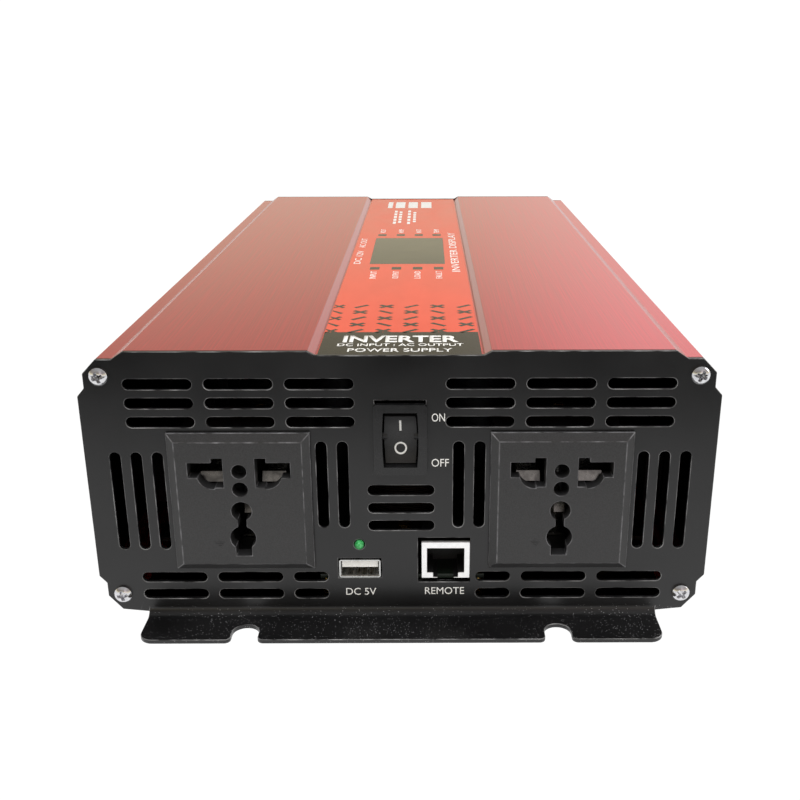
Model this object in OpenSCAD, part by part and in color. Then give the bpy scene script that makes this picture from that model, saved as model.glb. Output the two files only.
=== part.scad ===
// Power inverter with two universal sockets, an extruded case, two fans and two battery studs.
// Axes: X across the front panel, Y from the front panel to the back, Z up from the feet.

/* [Case] */
// Width over the side walls
body_w = 200; // [170:1:260]
// Height of the extruded case without the feet
case_h = 91.5; // [80:0.5:120]
// Length of the extruded shells
shell_len = 340; // [280:1:420]
// Thickness of the bent steel end panels and feet
sheet = 1.5; // [1:0.1:2.5]
// Wall of the extruded shells
wall = 2.4; // [2:0.1:4]
// Half width of the recess that holds the printed overlay
recess_half = 26; // [15:0.5:40]
// Depth of the recess below the raised lands
recess_deep = 2; // [1:0.1:3]

/* [Feet] */
// Reach of each foot beyond its panel
foot_len = 15.7; // [12:0.1:30]
// Inner radius of the fold between panel and foot
fold_r = 3; // [1:0.1:6]
// Spacing of the two open fixing slots in each foot
foot_slot_gap = 101.4; // [60:0.1:150]
// Width of each fixing slot
foot_slot_w = 8.6; // [4:0.1:10]
// Distance from the foot's free edge to the centre of the slot's round end
foot_slot_in = 4.7; // [3:0.1:10]

/* [Vents] */
// Width of the vent slots
vent_w = 3.5; // [2:0.1:5]
// Length of the level vent slots
vent_len = 21.4; // [10:0.1:30]
// Pitch of the rows of level slots
vent_pitch = 6.25; // [5:0.05:10]
// Length of the upright slots beside each socket's outer edge
outer_vent_len = 34.2; // [15:0.1:50]
// Length of the upright slots beside the switch
inner_vent_len = 30; // [15:0.1:50]

/* [Sockets] */
// Distance of each socket's centre line from the middle
socket_x = 51; // [40:0.5:60]
// Height of the socket centres
socket_z = 43; // [35:0.5:60]
// Width of a socket faceplate
plate_w = 45.2; // [40:0.1:52]
// Height of a socket faceplate
plate_h = 47.7; // [40:0.1:55]
// How far the faceplate stands out of the panel
plate_t = 2.8; // [1.5:0.1:5]
// Depth of the socket housing behind the panel
socket_deep = 30; // [20:0.5:40]

/* [Switch] */
// Width of the switch bezel
bezel_w = 16.8; // [12:0.1:22]
// Height of the switch bezel
bezel_h = 23.6; // [18:0.1:30]
// Height of the switch centre
switch_z = 64.4; // [55:0.1:75]
// Swing of the rocker from off to on
rocker_swing = 18; // [10:1:26]

/* [Ports] */
// Centre of the charging port across the panel
usb_x = -13.8; // [-20:0.1:-8]
// Height of the charging port's centre
usb_z = 18.6; // [15:0.1:25]
// Centre of the network port across the panel
jack_x = 14.4; // [8:0.1:20]
// Height of the underside of the network port
jack_z = 15; // [13:0.1:20]
// Height of the indicator lamp
led_z = 27.3; // [24:0.1:32]

/* [Display] */
// Distance of the display's centre behind the front panel
display_y = 171.5; // [100:0.5:240]
// Width of the display window
window_w = 33; // [20:0.5:45]
// Length of the display window
window_len = 64; // [30:0.5:90]

/* [Fans] */
// Side of the square fan frame
fan_size = 60; // [50:1:70]
// Depth of a fan
fan_deep = 20; // [15:1:30]
// Distance of each fan's centre from the middle
fan_x = 62; // [50:0.5:66]
// Number of blades on each impeller
blade_count = 7; // [5:1:11]

/* [Terminals] */
// Diameter of the battery studs
stud_d = 8; // [6:1:12]
// Distance of each stud from the middle
stud_x = 16; // [14:0.5:20]
// How far the studs stand out of the rear panel
stud_out = 26; // [20:0.5:40]
// Thread pitch of the studs
stud_pitch = 1.25; // [1:0.05:1.75]

/* [Hidden] */
$fn = 48;
hw = body_w / 2;
top_z = sheet + case_h;
mid_z = sheet + case_h / 2;
span = shell_len + 2 * sheet;
front_y = (foot_len - span - stud_out) / 2;
rear_y = front_y + span;
shell_y0 = front_y + sheet;
shell_y1 = rear_y - sheet;
foot_half = hw - 15.4;
recess_z = top_z - recess_deep;
overlay_t = 0.5;
screw_in = 7.4;
screw_up = 7.8;
floor_z = sheet + wall;
board_z = 10;
board_t = 1.6;
board_top = board_z + board_t;
io_top = jack_z;
bore_gap = 0.05;
switch_pivot_y = front_y + 3.4;
bar_pivot_y = switch_pivot_y + 9.4;
fan_y = shell_y1;
fan_bore = fan_size / 2 - 1.4;
fan_hub = 12.5;
stud_r = stud_d / 2;
flange_t = 5;
collar_t = 2;
washer_t = 1.6;
nut_t = 6.5;
strap_t = 2;
inner_pad_t = 3;
bar_face = 91;

// Draws a flat X-Z shape and carries it along Y from y0 to y1.
module along_y(y0, y1) {
  translate([0, y1, 0]) rotate([90, 0, 0]) linear_extrude(height = y1 - y0) children();
}

// Draws a flat Y-Z shape and carries it along X from x0 to x1.
module along_x(x0, x1) {
  translate([x0, 0, 0]) rotate([90, 0, 90]) linear_extrude(height = x1 - x0) children();
}

// A cylinder along Y from y0 to y1, centred on x and z.
module rod_y(x, z, r, y0, y1) {
  translate([x, y1, z]) rotate([90, 0, 0]) cylinder(r = r, h = y1 - y0);
}

// A box given by its lowest and highest corners.
module block(lo, hi) {
  translate(lo) cube(hi - lo);
}

// A flat rectangle given by its centre and its full sizes.
module plate(x, y, w, h) {
  translate([x - w / 2, y - h / 2]) square([w, h]);
}

// A flat rectangle with round corners.
module round_plate(x, y, w, h, r) {
  plate(x, y, w - 2 * r, h);
  plate(x, y, w, h - 2 * r);
  for (sx = [-1, 1])
    for (sy = [-1, 1])
      translate([x + sx * (w / 2 - r), y + sy * (h / 2 - r)]) circle(r = r);
}

// A flat slot with two round ends, level or upright.
module slot(x, z, len, w, upright = false) {
  run = (len - w) / 2;
  plate(x, z, upright ? w : 2 * run, upright ? 2 * run : w);
  for (s = [-1, 1])
    translate([x + (upright ? 0 : s * run), z + (upright ? s * run : 0)]) circle(d = w);
}

// Repeats a Y-axis part at the given X-Z places.
module at_xz(places) {
  for (p = places)
    translate([p[0], 0, p[1]]) children();
}

// ---------------------------------------------------------------- case shells

// One corner of the case section, from the raised land round to the flat side.
steps_out = [[15.2, 0], [11.6, 2.45], [6.7, 2.45], [2.3, 7], [2.3, 11.8], [0, 14.4]];
steps_low = [[15.4, 1], [6.7, 1.9], [2.3, 7], [2.3, 11.8], [0, 14.4]];
steps_in = [[16.5, wall], [13.5, 4.8], [8, 4.8], [4.6, 8.2], [4.6, 12.8], [wall, 15.2]];

function corner(steps, sx, top) =
  [for (s = steps) [sx * (hw - s[0]), top ? top_z - s[1] : sheet + s[1]]];
function flip(v) = [for (i = [len(v) - 1:-1:0]) v[i]];

module upper_outline() {
  polygon(concat([[-recess_half - 2.3, top_z], [-recess_half, recess_z]],
    [[recess_half, recess_z], [recess_half + 2.3, top_z]],
    corner(steps_out, 1, true), [[hw, mid_z], [-hw, mid_z]],
    flip(corner(steps_out, -1, true))));
}

module upper_cavity() {
  polygon(concat([[-recess_half - 5, top_z - wall], [-recess_half - 3, recess_z - 2.2]],
    [[recess_half + 3, recess_z - 2.2], [recess_half + 5, top_z - wall]],
    corner(steps_in, 1, true), [[hw - wall, mid_z - 1], [wall - hw, mid_z - 1]],
    flip(corner(steps_in, -1, true))));
}

module lower_outline() {
  polygon(concat(corner(steps_out, -1, false), [[-hw, mid_z], [hw, mid_z]],
    flip(corner(steps_out, 1, false))));
}

module lower_cavity() {
  polygon(concat(corner(steps_in, -1, false), [[wall - hw, mid_z + 1], [hw - wall, mid_z + 1]],
    flip(corner(steps_in, 1, false))));
}

screw_places = [for (sx = [-1, 1]) for (z = [sheet + screw_up, top_z - screw_up])
  [sx * (hw - screw_in), z]];

module upper_shell() {
  color([0.72, 0.2, 0.24])
  difference() {
    along_y(shell_y0, shell_y1) difference() {
      union() {
        difference() {
          upper_outline();
          upper_cavity();
        }
        for (sx = [-1, 1]) {
          translate([sx * (hw - screw_in), top_z - screw_up]) circle(r = 3.4);
          // thicker edge with the tongue that locks into the lower shell
          plate(sx * (hw - 2.2), mid_z + 2, 4.4, 4);
          plate(sx * (hw - 2.2), mid_z - 1.2, 1, 2.5);
        }
      }
      for (sx = [-1, 1])
        translate([sx * (hw - screw_in), top_z - screw_up]) circle(r = 1.5 + bore_gap);
    }
    block([-15, front_y + display_y - 30.5, recess_z - 5],
      [15, front_y + display_y + 30.5, recess_z + 1]);
  }
}

module lower_shell() {
  color([0.72, 0.2, 0.24])
  along_y(shell_y0, shell_y1) difference() {
    union() {
      difference() {
        lower_outline();
        lower_cavity();
      }
      for (sx = [-1, 1]) {
        translate([sx * (hw - screw_in), sheet + screw_up]) circle(r = 3.4);
        plate(sx * (hw - 2.2), mid_z - 2, 4.4, 4);
      }
    }
    for (sx = [-1, 1]) {
      translate([sx * (hw - screw_in), sheet + screw_up]) circle(r = 1.5 + bore_gap);
      plate(sx * (hw - 2.2), mid_z - 1.2, 1.3, 2.9);
    }
  }
}

// ---------------------------------------------------------------- bent end panels

// The flat outline of an end panel: the case section with a shallow notch for the overlay.
module panel_outline() {
  polygon(concat([[-recess_half - 2.3, top_z], [-recess_half, top_z - 1.3]],
    [[recess_half, top_z - 1.3], [recess_half + 2.3, top_z]],
    corner(steps_out, 1, true), flip(corner(steps_low, 1, false)),
    corner(steps_low, -1, false), flip(corner(steps_out, -1, true))));
}

// The foot seen from above: two slots open at the free edge, round front corners.
module foot_outline() {
  y_free = -foot_len;
  slot_y = y_free + foot_slot_in;
  difference() {
    union() {
      block2(-foot_half, y_free + 4.5, foot_half, -fold_r);
      block2(-foot_half + 4.5, y_free, foot_half - 4.5, y_free + 4.5);
      for (sx = [-1, 1])
        translate([sx * (foot_half - 4.5), y_free + 4.5]) circle(r = 4.5);
    }
    for (sx = [-1, 1])
      translate([sx * foot_slot_gap / 2, 0]) {
        translate([0, slot_y]) circle(d = foot_slot_w);
        block2(-foot_slot_w / 2, y_free - 1, foot_slot_w / 2, slot_y);
        difference() {
          block2(-foot_slot_w / 2 - 2, y_free - 1, foot_slot_w / 2 + 2, y_free + 2);
          for (s = [-1, 1])
            translate([s * (foot_slot_w / 2 + 2), y_free + 2]) circle(r = 2);
        }
      }
  }
}

module block2(x0, y0, x1, y1) {
  translate([x0, y0]) square([x1 - x0, y1 - y0]);
}

// One end panel with its foot, its outer face on y = 0 and facing -Y.
module bent_panel() {
  difference() {
    union() {
      along_y(0, sheet) difference() {
        panel_outline();
        block2(-foot_half, 0, foot_half, sheet + fold_r);
      }
      along_x(-foot_half, foot_half) difference() {
        intersection() {
          translate([-fold_r, sheet + fold_r]) circle(r = fold_r + sheet);
          block2(-fold_r, 0, sheet, sheet + fold_r);
        }
        translate([-fold_r, sheet + fold_r]) circle(r = fold_r);
      }
      linear_extrude(height = sheet) foot_outline();
    }
    at_xz(screw_places) rod_y(0, 0, 1.7, -1, sheet + 1);
  }
}

module vents() {
  // three rows along the top and two along the bottom
  for (row = [0:2])
    for (x = [25, 50, 75])
      slot(x, top_z - 10.5 - row * vent_pitch, vent_len, vent_w);
  for (row = [0:1]) {
    for (x = [50, 75])
      slot(x, sheet + 13.9 - row * vent_pitch, vent_len, vent_w);
    slot(30, sheet + 13.9 - row * vent_pitch, 11.3, vent_w);
  }
  for (i = [0:2])
    slot(hw - 23 + i * 6.7, socket_z - 0.2, outer_vent_len, vent_w, true);
  for (i = [0:1])
    slot(18.4 + i * 6.7, mid_z + 1.15, inner_vent_len, vent_w, true);
}

module front_panel() {
  color([0.06, 0.06, 0.065])
  difference() {
    translate([0, front_y, 0]) bent_panel();
    along_y(front_y - 1, shell_y0 + 1) {
      vents();
      mirror([1, 0]) vents();
      for (row = [0:2])
        slot(0, mid_z - 0.65 - row * vent_pitch, vent_len, vent_w);
      for (sx = [-1, 1])
        plate(sx * socket_x, socket_z, plate_w - 3.6, plate_h - 3.6);
      // the switch sits low in its cut-out and leaves a gap above the bezel
      block2(-bezel_w / 2 + 0.4, switch_z - bezel_h / 2 + 0.8, bezel_w / 2 - 0.4,
        switch_z + bezel_h / 2 + 0.9);
      plate(usb_x, usb_z, 14.2, 7.1);
      plate(jack_x - 0.5, jack_z + 6.5, 17.1, 16.2);
      translate([usb_x, led_z]) circle(r = 1.85);
    }
  }
}

fan_holes = [for (sx = [-1, 1]) for (i = [-1, 1]) for (k = [-1, 1])
  [sx * fan_x + i * (fan_size / 2 - 5), mid_z + k * (fan_size / 2 - 5)]];

module rear_panel() {
  color([0.06, 0.06, 0.065])
  difference() {
    translate([0, rear_y, 0]) mirror([0, 1, 0]) bent_panel();
    at_xz([[-fan_x, mid_z], [fan_x, mid_z]])
      rod_y(0, 0, fan_bore, shell_y1 - 1, rear_y + 1);
    at_xz(fan_holes) rod_y(0, 0, 2.2, shell_y1 - 1, rear_y + 1);
    at_xz([[-stud_x, mid_z], [stud_x, mid_z]])
      rod_y(0, 0, 7.5, shell_y1 - 1, rear_y + 1);
    rod_y(0, sheet + 14, 3.1, shell_y1 - 1, rear_y + 1);
  }
}

// A pan-head screw along +Y: head in front of y = 0, shank behind it.
module pan_screw(head_r, head_h, shank_r, len) {
  difference() {
    union() {
      rod_y(0, 0, head_r, -head_h * 0.6, 0);
      rod_y(0, 0, head_r * 0.82, -head_h, -head_h * 0.6);
      rod_y(0, 0, shank_r, 0, len);
    }
    // cross recess
    block([-head_r * 0.6, -head_h - 1, -0.4], [head_r * 0.6, -head_h * 0.45, 0.4]);
    block([-0.4, -head_h - 1, -head_r * 0.6], [0.4, -head_h * 0.45, head_r * 0.6]);
  }
}

module front_panel_screws() {
  color([0.8, 0.8, 0.82])
  translate([0, front_y, 0]) at_xz(screw_places) pan_screw(2.9, 2, 1.5, 12);
}

module rear_panel_screws() {
  color([0.8, 0.8, 0.82])
  translate([0, rear_y, 0]) mirror([0, 1, 0]) at_xz(screw_places)
    pan_screw(2.9, 2, 1.5, 12);
}

// ---------------------------------------------------------------- overlay and display

module label_overlay() {
  color([0.9, 0.25, 0.2])
  difference() {
    block([-recess_half + 0.5, shell_y0, recess_z],
      [recess_half - 0.5, shell_y1, recess_z + overlay_t]);
    block([-window_w / 2, front_y + display_y - window_len / 2, recess_z - 1],
      [window_w / 2, front_y + display_y + window_len / 2, recess_z + 1]);
  }
}

module display_window() {
  color([0.3, 0.3, 0.3])
  block([-window_w / 2, front_y + display_y - window_len / 2, recess_z],
    [window_w / 2, front_y + display_y + window_len / 2, recess_z + overlay_t]);
}

lcd_top = recess_z - 2.2;

module display_glass() {
  color([0.35, 0.4, 0.35])
  block([-17.5, front_y + display_y - 33, lcd_top - 2.8],
    [17.5, front_y + display_y + 33, lcd_top]);
}

module display_frame() {
  color([0.5, 0.5, 0.52])
  translate([0, front_y + display_y, 0]) difference() {
    block([-18.7, -34.5, lcd_top - 4.3], [18.7, 34.5, lcd_top]);
    block([-17.5, -33, lcd_top - 2.8], [17.5, 33, lcd_top + 1]);
    block([-16, -31.5, lcd_top - 5], [16, 31.5, lcd_top]);
  }
}

module display_board() {
  color([0.05, 0.35, 0.15])
  translate([0, front_y + display_y, 0]) {
    difference() {
      block([-24, -40, lcd_top - 5.9], [24, 40, lcd_top - 4.3]);
      for (sx = [-1, 1])
        for (sy = [-1, 1])
          translate([sx * 21.2, sy * 37, lcd_top - 7]) cylinder(r = 1.3, h = 4);
    }
  }
}

module display_posts() {
  color([0.8, 0.7, 0.35])
  translate([0, front_y + display_y, 0])
    for (sx = [-1, 1])
      for (sy = [-1, 1])
        translate([sx * 21.2, sy * 37, 0]) {
          translate([0, 0, lcd_top - 4.3]) cylinder(r = 2.3, h = 4.3);
          translate([0, 0, lcd_top - 5.9]) cylinder(r = 1.2, h = 1.6);
          translate([0, 0, lcd_top - 7.4]) cylinder(r = 2.3, h = 1.5);
        }
}

// ---------------------------------------------------------------- sockets

// The live opening of a universal socket, right of the socket's centre line.
module side_opening() {
  block2(5.1, 52.2 - 43, 16.2, 57.3 - 43);
  block2(5.1, 57.3 - 43 - 1, 8.6, 58.8 - 43);
  block2(5.1, 48.9 - 43, 8.4, 52.2 - 43 + 1);
  intersection() {
    translate([8.4, 9.2 + 1.2]) circle(r = 5);
    block2(8, 5.4, 14, 9.4);
  }
}

// The earth openings down the centre line.
module centre_opening() {
  translate([0, 11.3]) circle(r = 2.35);
  translate([0, 5.2]) circle(r = 2.45);
  translate([0, -2.4]) circle(r = 3.25);
  block2(-1.35, -9, 1.35, -4);
  translate([0, -11.9]) circle(r = 4.1);
  block2(-2.55, -18.3, 2.55, -12);
}

module socket_faceplate(x) {
  rim = 2.6;
  drop = 1.7;
  hw1 = plate_w / 2;
  hh1 = plate_h / 2;
  color([0.12, 0.12, 0.125])
  translate([x, front_y, socket_z]) difference() {
    union() {
      intersection() {
        // front face with a chamfered rim on all four sides
        translate([0, 0, -hh1]) linear_extrude(height = plate_h)
          polygon([[-hw1, 0], [hw1, 0], [hw1, drop - plate_t], [hw1 - rim, -plate_t],
            [rim - hw1, -plate_t], [-hw1, drop - plate_t]]);
        along_x(-hw1, hw1)
          polygon([[0, -hh1], [0, hh1], [drop - plate_t, hh1], [-plate_t, hh1 - rim],
            [-plate_t, rim - hh1], [drop - plate_t, -hh1]]);
      }
      along_y(0, sheet + 0.5) plate(0, 0, plate_w - 4.2, plate_h - 4.2);
    }
    along_y(-plate_t - 1, sheet + 1) {
      side_opening();
      mirror([1, 0]) side_opening();
      centre_opening();
    }
  }
}

module left_socket_faceplate() {
  socket_faceplate(-socket_x);
}

module right_socket_faceplate() {
  socket_faceplate(socket_x);
}

module socket_housing(x) {
  w = plate_w - 4.2;
  h = plate_h - 4.2;
  color([0.1, 0.1, 0.1])
  translate([x, front_y, socket_z]) difference() {
    union() {
      along_y(sheet + 0.5, socket_deep) plate(0, 0, w, h);
      // snap ridges that hold the socket behind the panel
      for (s = [-1, 1])
        block([-8, sheet + 0.5, s * h / 2 - 0.9], [8, sheet + 4, s * h / 2 + 0.9]);
    }
    // one chamber for each pole and one for the earth contacts
    block([4.4, sheet, 4.5], [17.4, socket_deep - 4, 16.6]);
    block([-17.4, sheet, 4.5], [-4.4, socket_deep - 4, 16.6]);
    block([-3.3, sheet, 1.4], [3.3, socket_deep - 4, 14.4]);
    block([-4.4, sheet, -18.9], [4.4, socket_deep - 4, 1.4]);
    // slits for the contact tails
    for (sx = [-1, 1])
      block([sx * 11 - 2.6, socket_deep - 5, 5.2], [sx * 11 + 2.6, socket_deep + 1, 6]);
    block([-2.6, socket_deep - 5, -18.6], [2.6, socket_deep + 1, -17.8]);
  }
}

module left_socket_housing() {
  socket_housing(-socket_x);
}

module right_socket_housing() {
  socket_housing(socket_x);
}

// A leaf 0.8 thick that climbs inwards from y0, z0 to y1, z1.
module lead_in(x0, x1, y0, z0, y1, z1) {
  along_x(x0, x1)
    polygon([[y0, z0], [y0 + 0.9, z0], [y1 + 0.5, z1], [y1 + 0.5, z1 + 0.8], [y1 - 0.1, z1 + 0.8]]);
}

// A spring contact: a folded strip in its chamber, its lower leaf turned down
// behind the opening as a lead-in, with a tail out of the back.
module pole_contact(sx) {
  for (s = [sx]) {
    x0 = min(s * 6.2, s * 13.8);
    x1 = max(s * 6.2, s * 13.8);
    lead_in(x0, x1, 3.2, 5.4, 5, 7.6);
    block([x0, 5, 7.6], [x1, socket_deep - 4.2, 8.4]);
    block([sx * 11 - 5.4, socket_deep - 5, 5.2], [sx * 11 + 5.4, socket_deep - 4.2, 15.6]);
    block([sx * 11 - 5.4, 12, 14.8], [sx * 11 + 5.4, socket_deep - 4.2, 15.6]);
    block([sx * 11 - 2.5, socket_deep - 5, 5.25], [sx * 11 + 2.5, socket_deep + 7, 5.95]);
  }
}

module live_contacts() {
  color([0.75, 0.68, 0.45])
  for (x = [-socket_x, socket_x])
    translate([x, front_y, socket_z]) pole_contact(1);
}

module neutral_contacts() {
  color([0.75, 0.68, 0.45])
  for (x = [-socket_x, socket_x])
    translate([x, front_y, socket_z]) pole_contact(-1);
}

module earth_contacts() {
  color([0.75, 0.68, 0.45])
  for (x = [-socket_x, socket_x])
    translate([x, front_y, socket_z]) {
      block([-2.9, 12, -18.6], [2.9, socket_deep - 4.2, -17.8]);
      block([-2.9, socket_deep - 5, -17.8], [2.9, socket_deep - 4.2, 12.6]);
      block([-2.9, 12, 12.6], [2.9, socket_deep - 4.2, 13.4]);
      block([-2.5, socket_deep - 5, -18.55], [2.5, socket_deep + 7, -17.85]);
      // upper earth leaf with its lead-in
      lead_in(-0.8, 2.7, 6.4, -7.2, 8, -5.2);
      block([-0.8, 8, -5.2], [2.7, socket_deep - 4.2, -4.4]);
    }
}

// ---------------------------------------------------------------- rocker switch

rocker_half_w = 5.2;

// A flat shape of the given half sizes whose long sides bulge by 0.42 mm.
module barrel(half_w, half_h) {
  r = (half_h * half_h + 0.42 * 0.42) / (2 * 0.42);
  intersection() {
    block2(-half_w, -half_h, half_w, half_h);
    translate([half_w - r, 0]) circle(r = r, $fn = 1440);
    translate([r - half_w, 0]) circle(r = r, $fn = 1440);
  }
}

module switch_housing() {
  color([0.08, 0.08, 0.08])
  translate([0, front_y, switch_z]) difference() {
    union() {
      along_y(-1.8, 0) round_plate(0, 0, bezel_w, bezel_h, 1.2);
      along_y(0, 20) plate(0, 0, bezel_w - 2, bezel_h - 2);
      // side wings that grip the back of the panel
      for (s = [-1, 1])
        block([s * (bezel_w / 2 - 0.6) - 1, sheet, 3.5], [s * (bezel_w / 2 - 0.6) + 1, 6, 8]);
    }
    along_y(-3, 18.4) barrel(rocker_half_w + 0.5, 9.15);
    rotate([0, 90, 0]) translate([0, 3.4, -12]) cylinder(r = 1.5 + bore_gap, h = 24);
    // slits for the two blade terminals
    for (z = [-7.6, 0])
      block([-3.2, 17, z - 0.45], [3.2, 21, z + 0.45]);
  }
}

// The rocker as moulded, level; it is laid over into the off position.
module switch_rocker() {
  h = 8.5;
  scoop = 2.4;
  scoop_r = (h * h + scoop * scoop) / (2 * scoop);
  color([0.1, 0.1, 0.1])
  translate([0, switch_pivot_y, switch_z]) rotate([rocker_swing / 2, 0, 0]) {
    difference() {
      intersection() {
        along_x(-6, 6)
          polygon([[-3.4, h], [-3.4, -h], [0.6, -h + 0.3], [3.4, -3.4], [3.4, 3.4],
            [0.6, h - 0.3]]);
        along_y(-5, 5) barrel(rocker_half_w, h);
      }
      translate([-7, scoop - 3.4 - scoop_r, 0]) rotate([0, 90, 0])
        cylinder(r = scoop_r, h = 14, $fn = 360);
    }
    for (s = [-1, 1])
      translate([s * (rocker_half_w + 0.3) - 1.2, 0, 0]) rotate([0, 90, 0])
        cylinder(r = 1.5, h = 2.4);
    rod_y(0, 0, 1.2, 2, 8.4);
  }
}

// A rocking brass bar on its own pin, laid over into the open position.
module switch_contact_bar() {
  color([0.85, 0.72, 0.4])
  translate([0, bar_pivot_y, switch_z]) rotate([-rocker_swing * 0.3, 0, 0]) {
    block([-2.2, -0.4, -8.2], [2.2, 0.5, 5.4]);
    translate([-4.2, 0, 0]) rotate([0, 90, 0]) cylinder(r = 0.8, h = 8.4);
    rod_y(0, -7.4, 1.2, 0.4, 1.3);
  }
}

module switch_terminals() {
  y_end = front_y + 28;
  color([0.75, 0.7, 0.5])
  translate([0, 0, switch_z]) {
    // common terminal: two ears carry the rocking bar's pin
    difference() {
      for (s = [-1, 1])
        block([s * 3.5 - 0.6, bar_pivot_y - 1.8, -1.8], [s * 3.5 + 0.6, front_y + 17.6, 1.8]);
      translate([-6, bar_pivot_y, 0]) rotate([0, 90, 0])
        cylinder(r = 0.8 + bore_gap, h = 12);
    }
    block([-4.1, front_y + 17.5, -1.8], [4.1, front_y + 18.3, 1.8]);
    block([-3.15, front_y + 18.2, -0.4], [3.15, y_end, 0.4]);
    // output terminal with the fixed contact the bar closes on
    block([-3.15, front_y + 17.5, -8.8], [3.15, front_y + 18.3, -6]);
    block([-3.15, front_y + 18.2, -8], [3.15, y_end, -7.2]);
    rod_y(0, -7.4, 1.2, front_y + 15.25, front_y + 17.6);
  }
}

// ---------------------------------------------------------------- ports and lamp

module usb_shell() {
  color([0.8, 0.8, 0.82])
  translate([usb_x, front_y, usb_z]) {
    difference() {
      union() {
        along_y(-0.4, 0.4) round_plate(0, 0, 13.6, 6.5, 0.7);
        along_y(0.2, 17) round_plate(0, 0, 13.1, 6, 0.5);
      }
      along_y(-1, 16) round_plate(0, 0, 12.5, 5.3, 0.3);
      // lip flared round the mouth
      along_y(-1, 0.15) round_plate(0, 0, 12.9, 5.7, 0.4);
    }
    // mounting legs down to the board
    for (sx = [-1, 1])
      for (y = [4, 13])
        block([sx * 6 - 0.5, y, io_top - usb_z - 1.6], [sx * 6 + 0.5, y + 1.6, -2.7]);
  }
}

module usb_tongue() {
  color([0.93, 0.93, 0.9])
  translate([usb_x, front_y, usb_z]) {
    block([-5.9, 0.5, 0.15], [5.9, 13, 2.35]);
    block([-6.1, 12.9, -2.45], [6.1, 15.9, 2.45]);
  }
}

module usb_contacts() {
  color([0.9, 0.78, 0.4])
  translate([usb_x, front_y, usb_z])
    for (x = [-3.5, -1, 1, 3.5])
      block([x - 0.5, 2, -0.1], [x + 0.5, 11.6, 0.15]);
}

module led_lens() {
  color([0.2, 0.8, 0.3])
  translate([usb_x, front_y, led_z]) {
    rod_y(0, 0, 1.5, -0.3, 5);
    rod_y(0, 0, 1.8, 4, 5);
    difference() {
      translate([0, -0.3, 0]) sphere(r = 1.5);
      block([-2, -0.3, -2], [2, 3, 2]);
    }
  }
}

module led_legs() {
  color([0.8, 0.8, 0.82])
  for (s = [-1, 1])
    translate([usb_x + s * 1.27, front_y, 0]) {
      block([-0.25, 5, led_z - 0.25], [0.25, 20, led_z + 0.25]);
      block([-0.25, 19.5, io_top - 1.6], [0.25, 20, led_z]);
    }
}

// The outline of the plug opening, with the latch notch stepped below it.
module jack_mouth(grow) {
  z0 = 13.1 - 2.2 - 8.9;
  block2(-6.1 - grow, z0 - grow, 6.1 + grow, z0 + 8.9 + grow);
  block2(-4.1 - grow, z0 - 1.7 - grow, 4.1 + grow, z0 + 1);
  block2(-2.65 - grow, -1, 2.65 + grow, z0);
}

module network_jack_shield() {
  color([0.85, 0.85, 0.86])
  translate([jack_x, front_y, jack_z]) difference() {
    block([-7.9, -0.3, 0], [7.9, 16, 13.1]);
    block([-7.5, 0.1, -1], [7.5, 15.6, 12.7]);
    along_y(-1, 1) jack_mouth(0);
  }
}

module network_jack_insert() {
  color([0.08, 0.08, 0.08])
  translate([jack_x, front_y, jack_z]) difference() {
    block([-7.5, 0.1, 0], [7.5, 15.6, 12.7]);
    along_y(0, 12.5) jack_mouth(0);
  }
}

module network_jack_contacts() {
  color([0.9, 0.78, 0.4])
  translate([jack_x, front_y, jack_z])
    for (i = [0:7])
      translate([(i - 3.5) * 1.02, 0, 0]) {
        block([-0.2, 9, 10.4], [0.2, 12.5, 10.75]);
        block([-0.2, 12, 5], [0.2, 12.35, 10.5]);
      }
}

module io_board() {
  color([0.05, 0.35, 0.15])
  difference() {
    block([-27.2, front_y + 2.5, io_top - 1.6], [27.2, front_y + 31, io_top]);
    for (sx = [-1, 1])
      for (y = [7, 27])
        translate([sx * 24.7, front_y + y, io_top - 3]) cylinder(r = 1.6, h = 5);
    for (sx = [-1, 1]) {
      for (y = [4, 13])
        block([usb_x + sx * 6 - 0.6, front_y + y - 0.1, io_top - 2],
          [usb_x + sx * 6 + 0.6, front_y + y + 1.7, io_top + 1]);
      block([usb_x + sx * 1.27 - 0.35, front_y + 19.4, io_top - 2],
        [usb_x + sx * 1.27 + 0.35, front_y + 20.1, io_top + 1]);
    }
  }
}

// ---------------------------------------------------------------- fans

// Everything about a fan is drawn round the Y axis, its outer face on y = 0, inside is -Y.
module fan_frame() {
  half = fan_size / 2;
  difference() {
    union() {
      // two flanges, the wind tube and a boss in each corner between them
      along_y(-fan_deep, 4 - fan_deep) round_plate(0, 0, fan_size, fan_size, 4);
      along_y(-4, 0) round_plate(0, 0, fan_size, fan_size, 4);
      rod_y(0, 0, fan_bore + 1.2, 1 - fan_deep, -1);
      for (i = [-1, 1])
        for (k = [-1, 1])
          rod_y(i * (half - 5), k * (half - 5), 3.4, 1 - fan_deep, -1);
    }
    rod_y(0, 0, fan_bore, -fan_deep - 1, 1);
    for (i = [-1, 1])
      for (k = [-1, 1])
        rod_y(i * (half - 5), k * (half - 5), 2.2, -fan_deep - 1, 1);
  }
  // motor base on four struts, with the bearing tube
  difference() {
    union() {
      rod_y(0, 0, 13, -2.5, 0);
      rod_y(0, 0, 3.2, -14, -2);
      for (a = [45:90:315])
        rotate([0, a, 0]) block([12, -2.4, -1.5], [fan_bore + 0.7, -0.2, 1.5]);
    }
    rod_y(0, 0, 1.5 + bore_gap, -15, 1);
  }
}

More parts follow.
